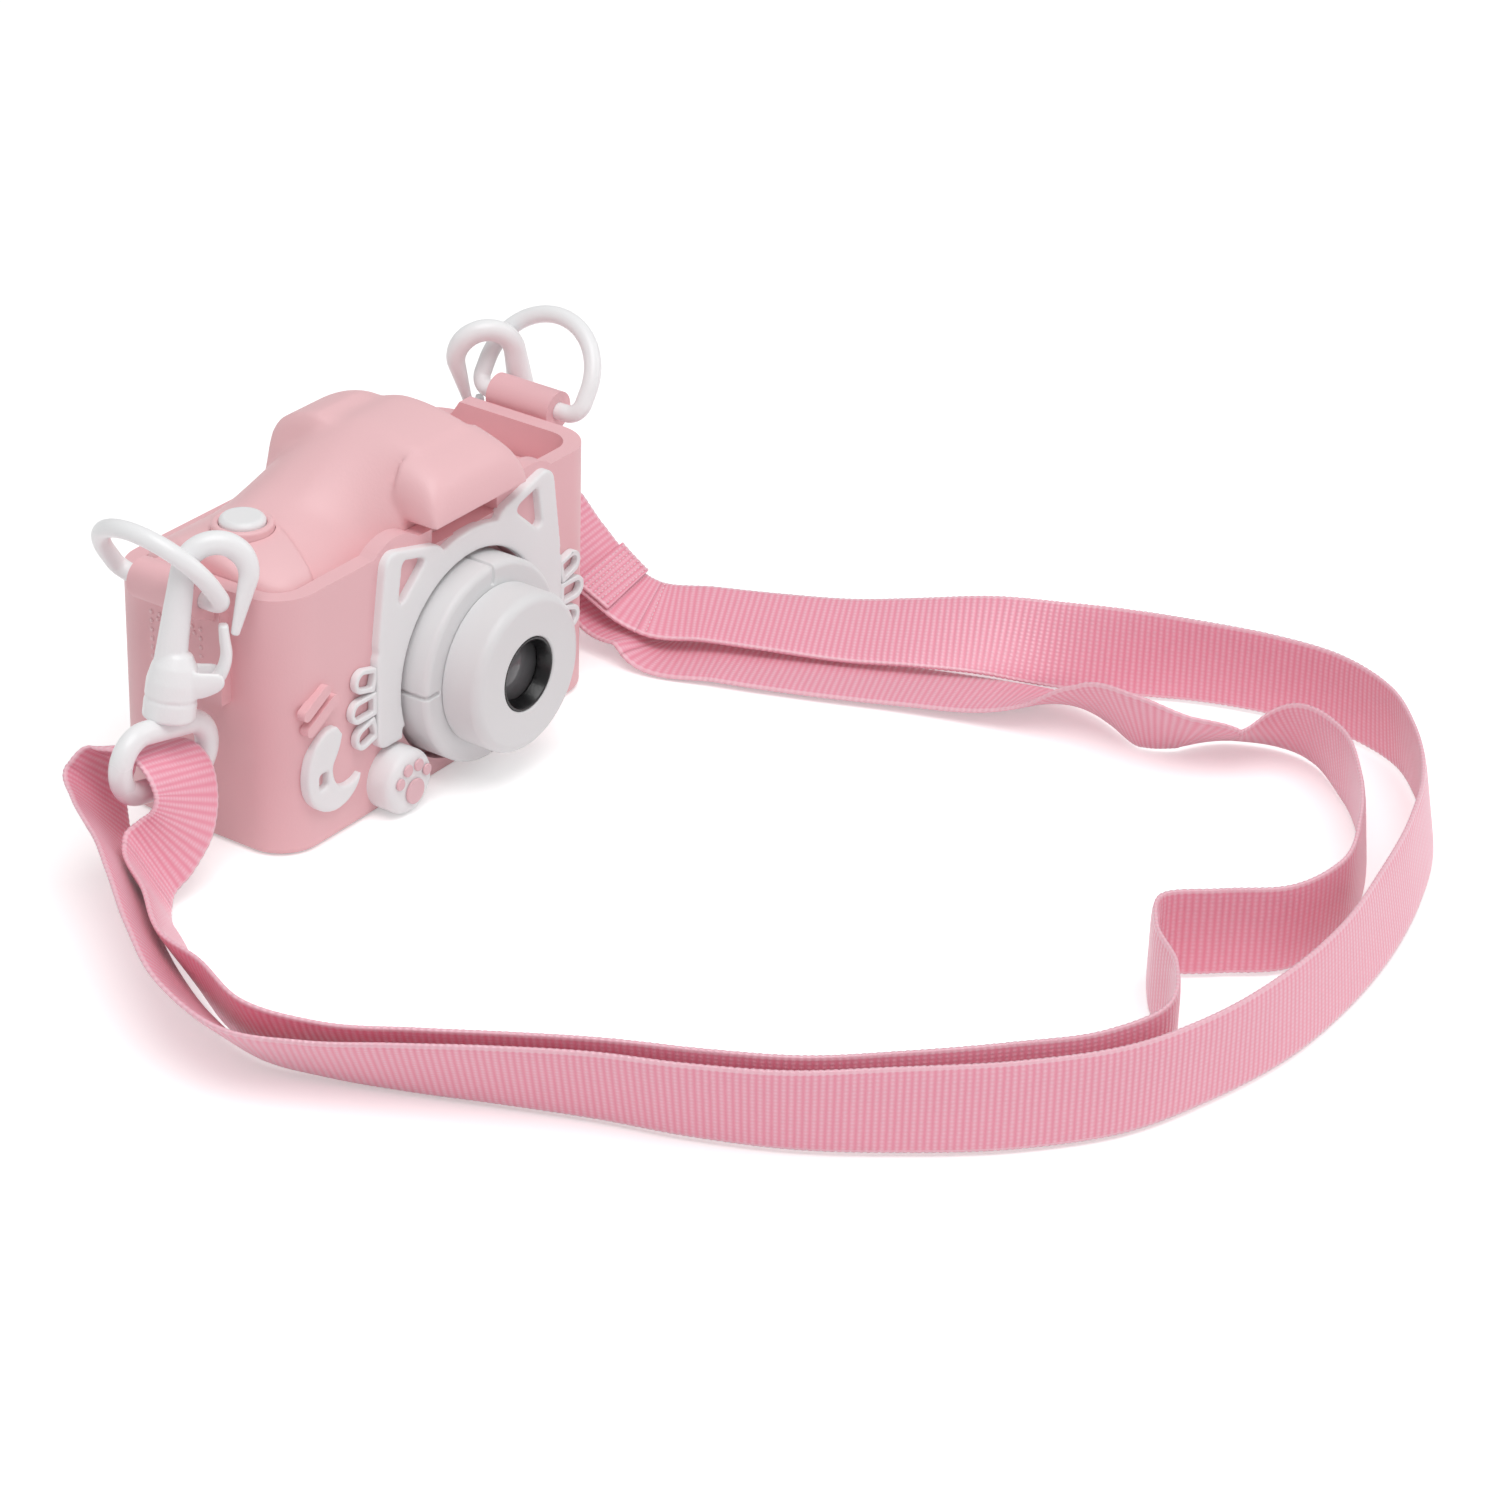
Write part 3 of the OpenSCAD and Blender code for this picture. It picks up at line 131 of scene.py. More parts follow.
def linear(red, green, blue):
    """Scene-linear colour of an 8-bit display colour."""
    v = np.array([red, green, blue]) / 255
    return tuple(float(x) for x in np.where(v <= 0.04045, v / 12.92, ((v + 0.055) / 1.055) ** 2.4))


def dim(colour, share):
    """Colour brought down to a share of itself."""
    return tuple(c * share for c in colour)


def finish(name, description, red, green, blue):
    """Colour that a user can change, with its default as an 8-bit display colour."""
    return FloatVectorProperty(name=name, description=description, size=3, subtype="COLOR",
                               default=linear(red, green, blue))


def length_in_mm(name, description, default):
    """Length that a user can change, with its default in millimetres."""
    return FloatProperty(name=name, description=description, unit="LENGTH", default=default * MM)


class ToyCamFinishes(bpy.types.PropertyGroup):
    """Colours of the camera, its cover and its strap"""

    pink: finish("Cover pink", "Colour of the silicone cover", 241, 191, 196)
    case: finish("Case pink", "Colour of the camera case", 243, 196, 200)
    white: finish("White", "Colour of the white lens rings", 229, 229, 230)
    relief: finish("Relief white", "Colour of the white relief on the cover", 240, 240, 241)
    clip: finish("Clip white", "Colour of the strap's rings and clips", 246, 246, 247)
    button: finish("Button white", "Colour of the shutter button and the keys", 240, 240, 241)
    pad: finish("Pad pink", "Colour of the paw pads", 232, 190, 196)
    # Ribbon colours: the rib colour is the ribbon's own pink with a painted highlight, and the groove colour is
    # painted shade between the ribs
    ribbon: finish("Ribbon", "Colour of the strap's ribs", 253, 203, 217)
    ribbon_groove_shade: finish("Ribbon grooves", "Colour between the strap's ribs", 238, 124, 152)
    thread: finish("Thread", "Colour of the strap's stitches", 250, 212, 221)


class ToyCamSizes(bpy.types.PropertyGroup):
    """Sizes of the ribbon and of the soft edges"""

    ribbon_width: length_in_mm("Ribbon width", "Width of the strap", 15)
    ribbon_thick: length_in_mm("Ribbon thickness", "Thickness of the strap", 1.1)
    rib_pitch: length_in_mm("Rib pitch", "Distance from rib to rib along the strap", 1.1)
    picot_pitch: length_in_mm("Edge loop pitch", "Distance between the loops of the woven edge", 1.05)
    soft_edge: length_in_mm("Soft edge", "Rounding of the silicone edges", 0.45)
    skin_voxel: length_in_mm("Skin voxel", "Grain of the case top's smooth skin", 0.5)
    columns: IntProperty(name="Ribbon columns", description="Points across one face of the strap", default=13)


class ToyCamStage(bpy.types.PropertyGroup):
    """Camera and lamps"""

    lens: FloatProperty(name="Focal length", description="Focal length in millimetres", default=108.01)
    place: FloatVectorProperty(name="Camera place", description="Camera position", size=3,
                               subtype="TRANSLATION", default=(-0.51405, -0.42687, 0.35911))
    azimuth: FloatProperty(name="Azimuth", description="Camera azimuth", subtype="ANGLE",
                           default=math.radians(-55.896))
    elevation: FloatProperty(name="Elevation", description="Camera elevation", subtype="ANGLE",
                             default=math.radians(28.393))
    roll: FloatProperty(name="Roll", description="Camera roll", subtype="ANGLE", default=math.radians(1.819))
    sky: FloatProperty(name="Sky", description="Strength of the even light from all round", default=0.46)
    key: FloatProperty(name="Key lamp", description="Power of the overhead lamp in watts", default=7.0)


# Node helpers


def feed(tree, socket, value):
    """Links a socket to another one, or sets its plain value."""
    if isinstance(value, bpy.types.NodeSocket):
        tree.links.new(value, socket)
    else:
        socket.default_value = value


def put(tree, kind, **inputs):
    """New node with its named inputs set or linked; an underscore in a name stands for a space."""
    node = tree.nodes.new(kind)
    for name, value in inputs.items():
        feed(tree, node.inputs[name.replace("_", " ")], value)
    return node


def sums(tree, operation, a, b=0.0, c=0.0):
    """Output of a Math node on numbers or sockets."""
    node = tree.nodes.new("ShaderNodeMath")
    node.operation = operation
    for socket, value in zip(node.inputs, (a, b, c)):
        feed(tree, socket, value)
    return node.outputs[0]


def mixed(tree, factor, a, b):
    """Colour mixed from a to b; a Mix node's colours are its seventh and eighth inputs."""
    node = tree.nodes.new("ShaderNodeMix")
    node.data_type = "RGBA"
    for index, value in ((0, factor), (6, a), (7, b)):
        feed(tree, node.inputs[index], value)
    return node.outputs[2]


def shade_group(name, sockets_in, sockets_out):
    """New shader node group with its named inputs and outputs."""
    tree = bpy.data.node_groups.new(name, "ShaderNodeTree")
    for label, kind, value in sockets_in:
        tree.interface.new_socket(label, in_out="INPUT", socket_type=kind).default_value = value
    for label, kind in sockets_out:
        tree.interface.new_socket(label, in_out="OUTPUT", socket_type=kind)
    start = tree.nodes.new("NodeGroupInput")
    end = tree.nodes.new("NodeGroupOutput")
    return tree, start.outputs, end.inputs


def moulded_group():
    """Moulded skin: slow mottling of the colour, a fine grain in the height and a roughness that drifts."""
    known = bpy.data.node_groups.get("moulded_skin")
    if known:
        return known
    tree, given, out = shade_group(
        "moulded_skin",
        [("Color", "NodeSocketColor", (0.8, 0.8, 0.8, 1)), ("Shade", "NodeSocketColor", (0.7, 0.7, 0.7, 1)),
         ("Mottle", "NodeSocketFloat", 0.3), ("Patch", "NodeSocketFloat", 60.0),
         ("Grain", "NodeSocketFloat", 2500.0), ("Rough", "NodeSocketFloat", 0.5)],
        [("Color", "NodeSocketColor"), ("Roughness", "NodeSocketFloat"), ("Height", "NodeSocketFloat")])
    place = put(tree, "ShaderNodeTexCoord").outputs["Object"]
    slow = put(tree, "ShaderNodeTexNoise", Vector=place, Scale=given["Patch"], Detail=3.0).outputs[0]
    fine = put(tree, "ShaderNodeTexNoise", Vector=place, Scale=given["Grain"], Detail=2.0).outputs[0]
    tree.links.new(mixed(tree, sums(tree, "MULTIPLY", slow, given["Mottle"]), given["Color"], given["Shade"]),
                   out["Color"])
    drift = sums(tree, "MULTIPLY_ADD", slow, 0.16, -0.08)
    tree.links.new(sums(tree, "ADD", given["Rough"], drift), out["Roughness"])
    tree.links.new(fine, out["Height"])
    return tree


def ribbon_group():
    """Ribbed ribbon: ribs across it by the sine of the length, warp threads by the sine of the width, and a
    woven edge; its colour follows the height, with a painted highlight on the rib crests and thread crossings
    and painted shade in the grooves."""
    tree, given, out = shade_group(
        "ribbed_ribbon",
        [("Rib", "NodeSocketColor", (0.9, 0.4, 0.5, 1)), ("Groove_shade", "NodeSocketColor", (0.7, 0.2, 0.3, 1)),
         ("Edge", "NodeSocketColor", (0.9, 0.6, 0.7, 1)), ("Ribs", "NodeSocketFloat", 1600.0),
         ("Threads", "NodeSocketFloat", 60.0)],
        [("Color", "NodeSocketColor"), ("Roughness", "NodeSocketFloat"), ("Height", "NodeSocketFloat")])
    uv = put(tree, "ShaderNodeUVMap")
    uv.uv_map = "weave"
    split = put(tree, "ShaderNodeSeparateXYZ", Vector=uv.outputs[0])
    along, across = split.outputs[0], split.outputs[1]
    wobble = put(tree, "ShaderNodeTexNoise", Vector=uv.outputs[0], Scale=90.0, Detail=2.0).outputs[0]
    turn = sums(tree, "MULTIPLY", along, sums(tree, "MULTIPLY", given["Ribs"], 2 * math.pi))
    rib = sums(tree, "MULTIPLY_ADD", sums(tree, "SINE", sums(tree, "ADD", turn, wobble)), 0.5, 0.5)
    lean = sums(tree, "MULTIPLY", across, sums(tree, "MULTIPLY", given["Threads"], 2 * math.pi))
    warp = sums(tree, "MULTIPLY_ADD", sums(tree, "SINE", lean), 0.5, 0.5)
    edge = sums(tree, "GREATER_THAN", sums(tree, "ABSOLUTE", sums(tree, "SUBTRACT", across, 0.5)), 0.465)
    height = sums(tree, "MULTIPLY", rib, sums(tree, "MULTIPLY_ADD", warp, 0.45, 0.55))
    fleck = put(tree, "ShaderNodeTexNoise", Vector=uv.outputs[0], Scale=700.0, Detail=1.0).outputs[0]
    # Colour by the height: painted highlight on the rib crests and thread crossings, painted shade in the
    # grooves between the ribs
    tone = sums(tree, "MULTIPLY_ADD", height, 0.55, sums(tree, "MULTIPLY_ADD", fleck, 0.35, 0.1))
    cloth = mixed(tree, tone, given["Groove_shade"], given["Rib"])
    tree.links.new(mixed(tree, sums(tree, "MULTIPLY", edge, 0.55), cloth, given["Edge"]), out["Color"])
    tree.links.new(sums(tree, "MULTIPLY_ADD", rib, -0.12, 0.44), out["Roughness"])
    tree.links.new(height, out["Height"])
    return tree


def principled(name):
    """New material with its shader and output, and the tree to build in."""
    material = bpy.data.materials.new(name)
    material.use_nodes = True
    tree = material.node_tree
    return material, tree, tree.nodes["Principled BSDF"]


def dressed(name, group, values, relief, strength=1.0):
    """New material whose colour, roughness and height come from a node group with the given values."""
    material, tree, shader = principled(name)
    node = tree.nodes.new("ShaderNodeGroup")
    node.node_tree = group
    for label, value in values.items():
        node.inputs[label].default_value = value
    tree.links.new(node.outputs["Color"], shader.inputs["Base Color"])
    tree.links.new(node.outputs["Roughness"], shader.inputs["Roughness"])
    bump = put(tree, "ShaderNodeBump", Height=node.outputs["Height"], Distance=relief, Strength=strength)
    tree.links.new(bump.outputs[0], shader.inputs["Normal"])
    return material, shader


def moulded(name, colour, shade, mottle, rough, relief=0.02 * MM, patch=60.0, **plain):
    """Moulded plastic or silicone on the moulded_skin group; plain values go on the shader's own sockets."""
    known = bpy.data.materials.get(name)
    if known:
        return known
    values = {"Color": (*colour, 1), "Shade": (*shade, 1), "Mottle": mottle, "Patch": patch, "Rough": rough}
    material, shader = dressed(name, moulded_group(), values, relief)
    for label, value in plain.items():
        shader.inputs[label.replace("_", " ")].default_value = value
    return material


def button_plastic(finishes):
    """White plastic of the shutter button and the keys."""
    white = tuple(finishes.button)
    return moulded("button_plastic", white, dim(white, 0.95), mottle=0.3, rough=0.34)


def ribbon_material(finishes, sizes):
    """Ribbed ribbon with a soft sheen."""
    # The rib colour carries a painted highlight and the groove colour painted shade between the ribs
    values = {"Rib": (*finishes.ribbon, 1), "Groove_shade": (*finishes.ribbon_groove_shade, 1),
              "Edge": (*finishes.thread, 1), "Ribs": 1 / sizes.rib_pitch, "Threads": 22.0}
    material, shader = dressed("strap_ribbon", ribbon_group(), values, relief=0.11 * MM, strength=0.75)
    for label, value in (("Specular IOR Level", 0.8), ("Specular Tint", (1, 0.88, 0.92, 1)),
                         ("Sheen Weight", 0.55), ("Sheen Roughness", 0.35), ("Sheen Tint", (1, 0.85, 0.9, 1))):
        shader.inputs[label].default_value = value
    return material


# Mesh helpers: distances at which points merge, angles of a flat and of a sharp edge, points round a tube
MERGE, WELD = 0.002 * MM, 0.0001 * MM
FLAT, SHARP = math.radians(0.6), math.radians(38.0)
ROUND = 24


def linked(name, mesh):
    """New object of a mesh, unturned at the origin."""
    piece = bpy.data.objects.new(name, mesh)
    bpy.context.scene.collection.objects.link(piece)
    return piece


def shaded(mesh, material):
    """One material on a mesh, and even shading."""
    mesh.polygons.foreach_set("use_smooth", np.ones(len(mesh.polygons), bool))
    mesh.materials.clear()
    mesh.materials.append(material)


def as_piece(name, points, faces, material, uv=None):
    """Mesh object at the origin from an array of points and rows of faces, with its UV map if one is given."""
    mesh = bpy.data.meshes.new(name)
    mesh.from_pydata(points.tolist(), [], faces.tolist() if isinstance(faces, np.ndarray) else faces)
    if uv is not None:
        layer = mesh.uv_layers.new(name="weave")
        corner = np.zeros(len(mesh.loops), np.int32)
        mesh.loops.foreach_get("vertex_index", corner)
        layer.data.foreach_set("uv", np.asarray(uv, np.float32)[corner].ravel())
    shaded(mesh, material)
    piece = linked(name, mesh)
    return piece


def quads(rows, columns, around=False, closed=False, start=0):
    """Faces of a grid of rows by columns; around joins its last column to the first, closed its last row."""
    i, j = np.meshgrid(np.arange(rows if closed else rows - 1), np.arange(columns if around else columns - 1),
                       indexing="ij")
    m, k = (i + 1) % rows, (j + 1) % columns
    corners = [i * columns + j, i * columns + k, m * columns + k, m * columns + j]
    return np.stack(corners, -1).reshape(-1, 4) + start


def outward(mesh, weld=False):
    """Normals of a closed mesh turned outwards, after its doubles are merged where weld asks for it."""
    bm = bmesh.new()
    bm.from_mesh(mesh)
    if weld:
        bmesh.ops.remove_doubles(bm, verts=bm.verts, dist=WELD)
    bmesh.ops.recalc_face_normals(bm, faces=bm.faces)
    bm.to_mesh(mesh)
    bm.free()


def unit(v):
    """Vectors at length one."""
    return v / np.maximum(np.linalg.norm(v, axis=-1, keepdims=True), 1e-12)


def chords(points):
    """Length along a chain of points, up to each of them."""
    return np.concatenate([[0], np.cumsum(np.linalg.norm(np.diff(points, axis=0), axis=1))])


def hermite(rows, t, s):
    """Cubic Hermite curve through rows at the lengths t, read at the lengths s, and its speed; the slope at a
    row is the central difference of its neighbours."""
    slope = np.gradient(rows, t, axis=0)
    k = np.clip(np.searchsorted(t, s, "right") - 1, 0, len(t) - 2)
    h = (t[k + 1] - t[k])[:, None]
    x = (s - t[k])[:, None] / h
    path = ((1 + 2 * x) * (1 - x) ** 2 * rows[k] + x * (1 - x) ** 2 * h * slope[k]
            + x * x * (3 - 2 * x) * rows[k + 1] + x * x * (x - 1) * h * slope[k + 1])
    speed = (6 * x * (x - 1) * (rows[k] - rows[k + 1]) / h + (1 - x) * (1 - 3 * x) * slope[k]
             + x * (3 * x - 2) * slope[k + 1])
    return path, speed


def along_path(points, count):
    """Smooth path through a few points, at equal steps."""
    points = np.asarray(points, float)
    t = chords(points)
    return hermite(points, t, np.linspace(0, t[-1], count))[0]


def smooth_route(rows, step, first, last):
    """Smooth curve from one row to another at equal steps: middle, normal, across and length."""
    t = chords(rows[:, :3])
    s = np.linspace(t[first], t[last], int(round((t[last] - t[first]) / step)) + 1)
    path, speed = hermite(rows, t, s)
    ahead = unit(speed[:, :3])
    across = unit(path[:, 3:] - ahead * np.sum(path[:, 3:] * ahead, axis=1, keepdims=True))
    return path[:, :3], np.cross(ahead, across), across, s


def strap_routes(step):
    """The strap as one closed chain of rows, cut into its two runs and two loops, which so meet in equal
    sections."""
    flip = [1, 1, 1, -1, -1, -1]
    rows = np.vstack([RIGHT_LOOP[1::-1], OUTER_ROUTE, LEFT_LOOP, INNER_ROUTE, RIGHT_LOOP[::-1] * flip,
                      OUTER_ROUTE[:2] * flip])
    left = 2 + len(OUTER_ROUTE)
    inner = left + len(LEFT_LOOP)
    cuts = (2, left - 1, inner, inner + len(INNER_ROUTE) - 1, len(rows) - 2)
    names = ("outer", "left", "inner", "right")
    return {name: smooth_route(rows, step, a, b) for name, a, b in zip(names, cuts, cuts[1:])}


def ribbon_piece(name, route, sizes, material, thin=1.0, lift=0.0):
    """Flat ribbon along a route: v runs from -1 to 1 over its width, and its thickness falls to the edge by
    1 - 0.55 v^8. The woven loops are a wave of |sin| of the length, which v^12 keeps to the edge, and lift
    sets the ribbon off along its normal."""
    middle, normal, across, length = route
    n, m = len(middle), sizes.columns
    v = np.sin(np.linspace(-1, 1, m) * math.pi / 2)
    half, thick, loop = sizes.ribbon_width / 2, sizes.ribbon_thick / 2 * thin, 0.16 * MM
    wave = loop * (np.abs(np.sin(math.pi * length / sizes.picot_pitch))[:, None] - 1) * np.abs(v) ** 12
    side = half * v + np.sign(v) * wave
    rise = np.broadcast_to(thick * (1 - 0.55 * v ** 8), (n, m))
    flat = middle[:, None] + across[:, None] * side[..., None]
    top = flat + normal[:, None] * (lift + rise)[..., None]
    low = flat + normal[:, None] * (lift - rise)[..., None]
    ring = np.concatenate([top, low[:, ::-1]], axis=1)
    around = 2 * m
    first = np.arange(around)
    ends = np.stack([first, first[::-1] + (n - 1) * around])
    faces = quads(n, around, around=True).tolist() + ends.tolist()
    width = np.concatenate([(v + 1) / 2, (v[::-1] + 1) / 2])
    uv = np.stack(np.broadcast_arrays(length[:, None], width[None, :]), -1).reshape(-1, 2)
    piece = as_piece(name, ring.reshape(-1, 3), faces, material, uv=uv)
    outward(piece.data)
    return piece


def beads(name, centres, along, normal, size, material):
    """Many small domes: a few rings of an ellipsoid with half axes size, set on each centre by its two
    directions."""
    around, heights = 6, np.array([-1.1, -0.35, 0.4, 1.15])
    side = np.cross(normal, along)
    a, e = np.meshgrid(np.linspace(0, 2 * math.pi, around + 1)[:-1], heights, indexing="xy")
    ball = np.stack([np.cos(a) * np.cos(e), np.sin(a) * np.cos(e), np.sin(e)], -1).reshape(-1, 3) * size
    points = (centres[:, None] + along[:, None] * ball[None, :, :1] + side[:, None] * ball[None, :, 1:2]
              + normal[:, None] * ball[None, :, 2:])
    start = len(ball) * np.arange(len(centres))[:, None, None]
    ring = np.arange(around)
    walls = (quads(len(heights), around, around=True) + start).reshape(-1, 4)
    ends = (np.stack([ring[::-1], ring + len(ball) - around]) + start).reshape(-1, around)
    piece = as_piece(name, points.reshape(-1, 3), walls.tolist() + ends.tolist(), material)
    outward(piece.data)
    return piece


def merged(node, name, rejoin=False, split=False):
    """Copy of a CAD node's mesh with its loose triangles joined. rejoin makes its flat faces whole, and split
    then cuts up those of more than four corners, which keeps windows open."""
    mesh = frame["nodes"][node].data.copy()
    mesh.name = name
    bm = bmesh.new()
    bm.from_mesh(mesh)
    bmesh.ops.remove_doubles(bm, verts=bm.verts, dist=MERGE)
    if rejoin:
        bmesh.ops.dissolve_limit(bm, angle_limit=FLAT, verts=bm.verts, edges=bm.edges)
    if split:
        many = [face for face in bm.faces if len(face.verts) > 4]
        bmesh.ops.triangulate(bm, faces=many, ngon_method="BEAUTY")
    bm.to_mesh(mesh)
    bm.free()
    return mesh


def softened(node, material, radius, split=False):
    """Merged copy of a moulded CAD node with edges rounded by a radius and even shading."""
    source = frame["nodes"][node]
    mesh = merged(node, node + "_moulded", rejoin=radius > 0, split=split)
    shaded(mesh, material)
    mesh.set_sharp_from_angle(angle=SHARP)
    piece = linked(node + "_moulded", mesh)
    if radius:
        rounding = piece.modifiers.new("rounding", "BEVEL")
        rounding.width, rounding.segments = radius, 3
        rounding.limit_method, rounding.angle_limit = "ANGLE", SHARP
        rounding.use_clamp_overlap, rounding.miter_outer = True, "MITER_ARC"
        piece.modifiers.new("shading", "WEIGHTED_NORMAL").keep_sharp = False
    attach(piece, source["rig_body"])
    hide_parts(node)
    return piece


def apply_modifiers(piece):
    """The piece's modifiers worked into its mesh."""
    graph = bpy.context.evaluated_depsgraph_get()
    mesh = bpy.data.meshes.new_from_object(piece.evaluated_get(graph))
    piece.modifiers.clear()
    old, piece.data = piece.data, mesh
    bpy.data.meshes.remove(old)


def skinned(piece, voxel, rounds):
    """One smooth skin over all the shells of a piece: a voxel remesh, then rounds of smoothing by half."""
    skin = piece.modifiers.new("skin", "REMESH")
    skin.mode, skin.voxel_size, skin.use_smooth_shade = "VOXEL", voxel, True
    ease = piece.modifiers.new("ease", "SMOOTH")
    ease.factor, ease.iterations = 0.5, rounds
    apply_modifiers(piece)


def puffed(node, material, voxel, rounds, sink):
    """Soft copy of a relief node: its back face is set into the cover by sink, and a smooth skin rounds all
    that stands out."""
    source, back_face = frame["nodes"][node], 0.05 * MM
    mesh = merged(node, node + "_puffed")
    place = np.empty(len(mesh.vertices) * 3)
    mesh.vertices.foreach_get("co", place)
    depth = place.reshape(-1, 3)[:, 1]
    depth[depth > depth.max() - back_face] += sink
    mesh.vertices.foreach_set("co", place)
    piece = linked(node + "_puffed", mesh)
    skinned(piece, voxel, rounds)
    shaded(piece.data, material)
    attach(piece, source["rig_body"])
    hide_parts(node)
    return piece


def swept(path, in_plane, off_plane, closed=False):
    """Tube along a path in the x-z plane: an ellipse with its own two half axes at each point, capped or
    closed; its points and arrays of faces."""
    path = np.asarray(path, float)
    ahead = unit(np.roll(path, -1, 0) - np.roll(path, 1, 0) if closed else np.gradient(path, axis=0))
    side = np.stack([ahead[:, 1], -ahead[:, 0]], -1)
    a = np.linspace(0, 2 * math.pi, ROUND + 1)[:-1]
    in_plane, off_plane = np.broadcast_to(in_plane, len(path)), np.broadcast_to(off_plane, len(path))
    flat = path[:, None] + side[:, None] * (in_plane[:, None] * np.cos(a))[..., None]
    points = np.stack([flat[..., 0], off_plane[:, None] * np.sin(a), flat[..., 1]], -1).reshape(-1, 3)
    faces = [quads(len(path), ROUND, around=True, closed=closed)]
    if not closed:
        ring = np.arange(ROUND)
        faces.append(np.stack([ring, ring[::-1] + ROUND * (len(path) - 1)]))
    return points, faces


def turned(profile):
    """Closed profile of radius and height carried round the z axis; its points and array of faces."""
    a = np.linspace(0, 2 * math.pi, 2 * ROUND + 1)[:-1]
    r, z = np.asarray(profile, float).T
    points = np.stack([np.outer(np.cos(a), r), np.outer(np.sin(a), r), np.tile(z, (len(a), 1))], -1)
    return points.reshape(-1, 3), [quads(len(a), len(r), around=True, closed=True)]


def one_skin(name, shells, place, material, voxel, rounds):
    """Closed shells in millimetres joined into one smooth skin, and set in place."""
    starts = np.cumsum([0] + [len(points) for points, parts in shells])
    faces = []
    for start, (points, parts) in zip(starts, shells):
        for part in parts:
            faces += (part + start).tolist()
    piece = as_piece(name, np.concatenate([points for points, parts in shells]) * MM, faces, material)
    outward(piece.data, weld=True)
    skinned(piece, voxel, rounds)
    piece.data.transform(place)
    shaded(piece.data, material)
    return piece


# Case top: the same formulas as the case, on a finer grid, in millimetres

# Half width and half depth of the case, its corner radius, its wall and the height of its seam
CASE_X, CASE_Y, CASE_R, CASE_WALL, CAP_Z = 37.9, 15.4, 6.0, 2.0, 36.02
# Heights of the crown, the left deck, the grip and the right shoulder, and the place of the lens axis
HUMP_TOP, DECK_Z, GRIP_Z, SHOULDER_Z, LENS_X = 59.0, 49.0, 49.6, 40.0, 4.5
# Radius of the top edge and thickness of the cap
EDGE_R, SKIN = 2.2, 2.4
# Top of the crown's rear block and the fall at its left end
BLOCK_TOP, BLOCK_WALL = 58.6, 13.0
# Middle, half width, reach, underside and edge of the brow
BROW_X, BROW_HALF, BROW_LEN, BROW_Z, BROW_EDGE = 4.75, 12.05, 6.6, 47.2, 0.5
# Middle and radius of the hole for the shutter collar
POST_X, COLLAR_R = -28.6, 5.2


def sstep(a, b, x):
    """Smooth step from a to b."""
    t = np.clip((x - a) / (b - a), 0, 1)
    return t * t * (3 - 2 * t)


def hump(y):
    """Crown height along the depth: two parabolas that meet on the ridge."""
    return HUMP_TOP - np.where(y < -2, 0.0125, 0.041) * (y + 2) ** 2


def block(x, y):
    """Rear block of the crown: a steep left end, a flat top and parabolas to the right and to the back."""
    u = x - LENS_X
    top = BLOCK_TOP - 0.04 * np.maximum(0, y - 5) ** 2
    wall = top - BLOCK_WALL * (1 - sstep(-12.4, -7.5, u))
    return np.where(u < -7.5, wall, np.where(u > 2.5, top - 9 * ((u - 2.5) / 12) ** 2, top))


def deck(x, y):
    """Height of the case top: smooth steps from the crown to the left deck and the right shoulder, and
    parabolas for the grip dome."""
    left = DECK_Z - np.where(y < 0, 10 * (y / CASE_Y) ** 2, np.where(y > 4, 6 * ((y - 4) / 11.4) ** 2, 0))
    q = sstep(5, -15, y)
    high = hump(y)
    fall_left = left + (high - left) * sstep(-22.5 + 9 * q, 1 - 2 * q, x)
    fall_right = SHOULDER_Z + (high - SHOULDER_Z) * (1 - sstep(9.8 + q, 30 - 9 * q, x))
    slope = np.where(x < LENS_X, fall_left, fall_right)
    slope = slope + (np.maximum(block(x, y), slope) - slope) * sstep(0.5, 6.5, y)
    grip = GRIP_Z - np.where(y < -3, 4.1 * ((y + 3) / 12.4) ** 2, 6.2 * ((y + 3) / 18.4) ** 2)
    grip = grip - 3 * (np.maximum(0, -29 - x) / 8.9) ** 2
    grip_x = -24 + np.where(y < -4, 4.5 * (y + 4) / 11.4, 0)
    return slope + (np.maximum(grip, slope) - slope) * sstep(grip_x + 0.8, grip_x - 0.8, x)


def cap_grid(inset, columns, rows):
    """Grid over the case top, fine along its border, rounded to the border by a quarter circle."""
    def line(count, half):
        """Places along one line of the grid, from border to border."""
        edge = EDGE_R * (1 - np.cos(np.linspace(0, math.pi / 2, 8)))
        middle = np.linspace(-1, 1, count)[1:-1][:, None] * (half - EDGE_R)
        return np.concatenate([-half + edge[:, None], middle, half - edge[::-1, None]])

    y = line(rows, np.array([CASE_Y - inset]))[:, 0]
    corner, r = CASE_Y - CASE_R, CASE_R - inset
    half = np.where(np.abs(y) <= corner, CASE_X - inset,
                    CASE_X - inset - r + np.sqrt(np.maximum(0, r * r - (np.abs(y) - corner) ** 2)))
    x = line(columns, half).T
    y = np.broadcast_to(y[:, None], x.shape)
    d = np.clip(np.minimum(half[:, None] - np.abs(x), CASE_Y - inset - np.abs(y)), 0, EDGE_R)
    drop = EDGE_R - np.sqrt(EDGE_R ** 2 - (EDGE_R - d) ** 2)
    z = deck(x, y) - drop if inset == 0 else np.maximum(CAP_Z + 0.6, deck(x, y) - SKIN - 0.4 * drop)
    return np.stack([x, y, z], -1)


def border(rows, columns):
    """Indices of a grid's border, once round."""
    grid = np.arange(rows * columns).reshape(rows, columns)
    return np.concatenate([grid[0], grid[1:, -1], grid[-1, -2::-1], grid[-2:0:-1, 0]])


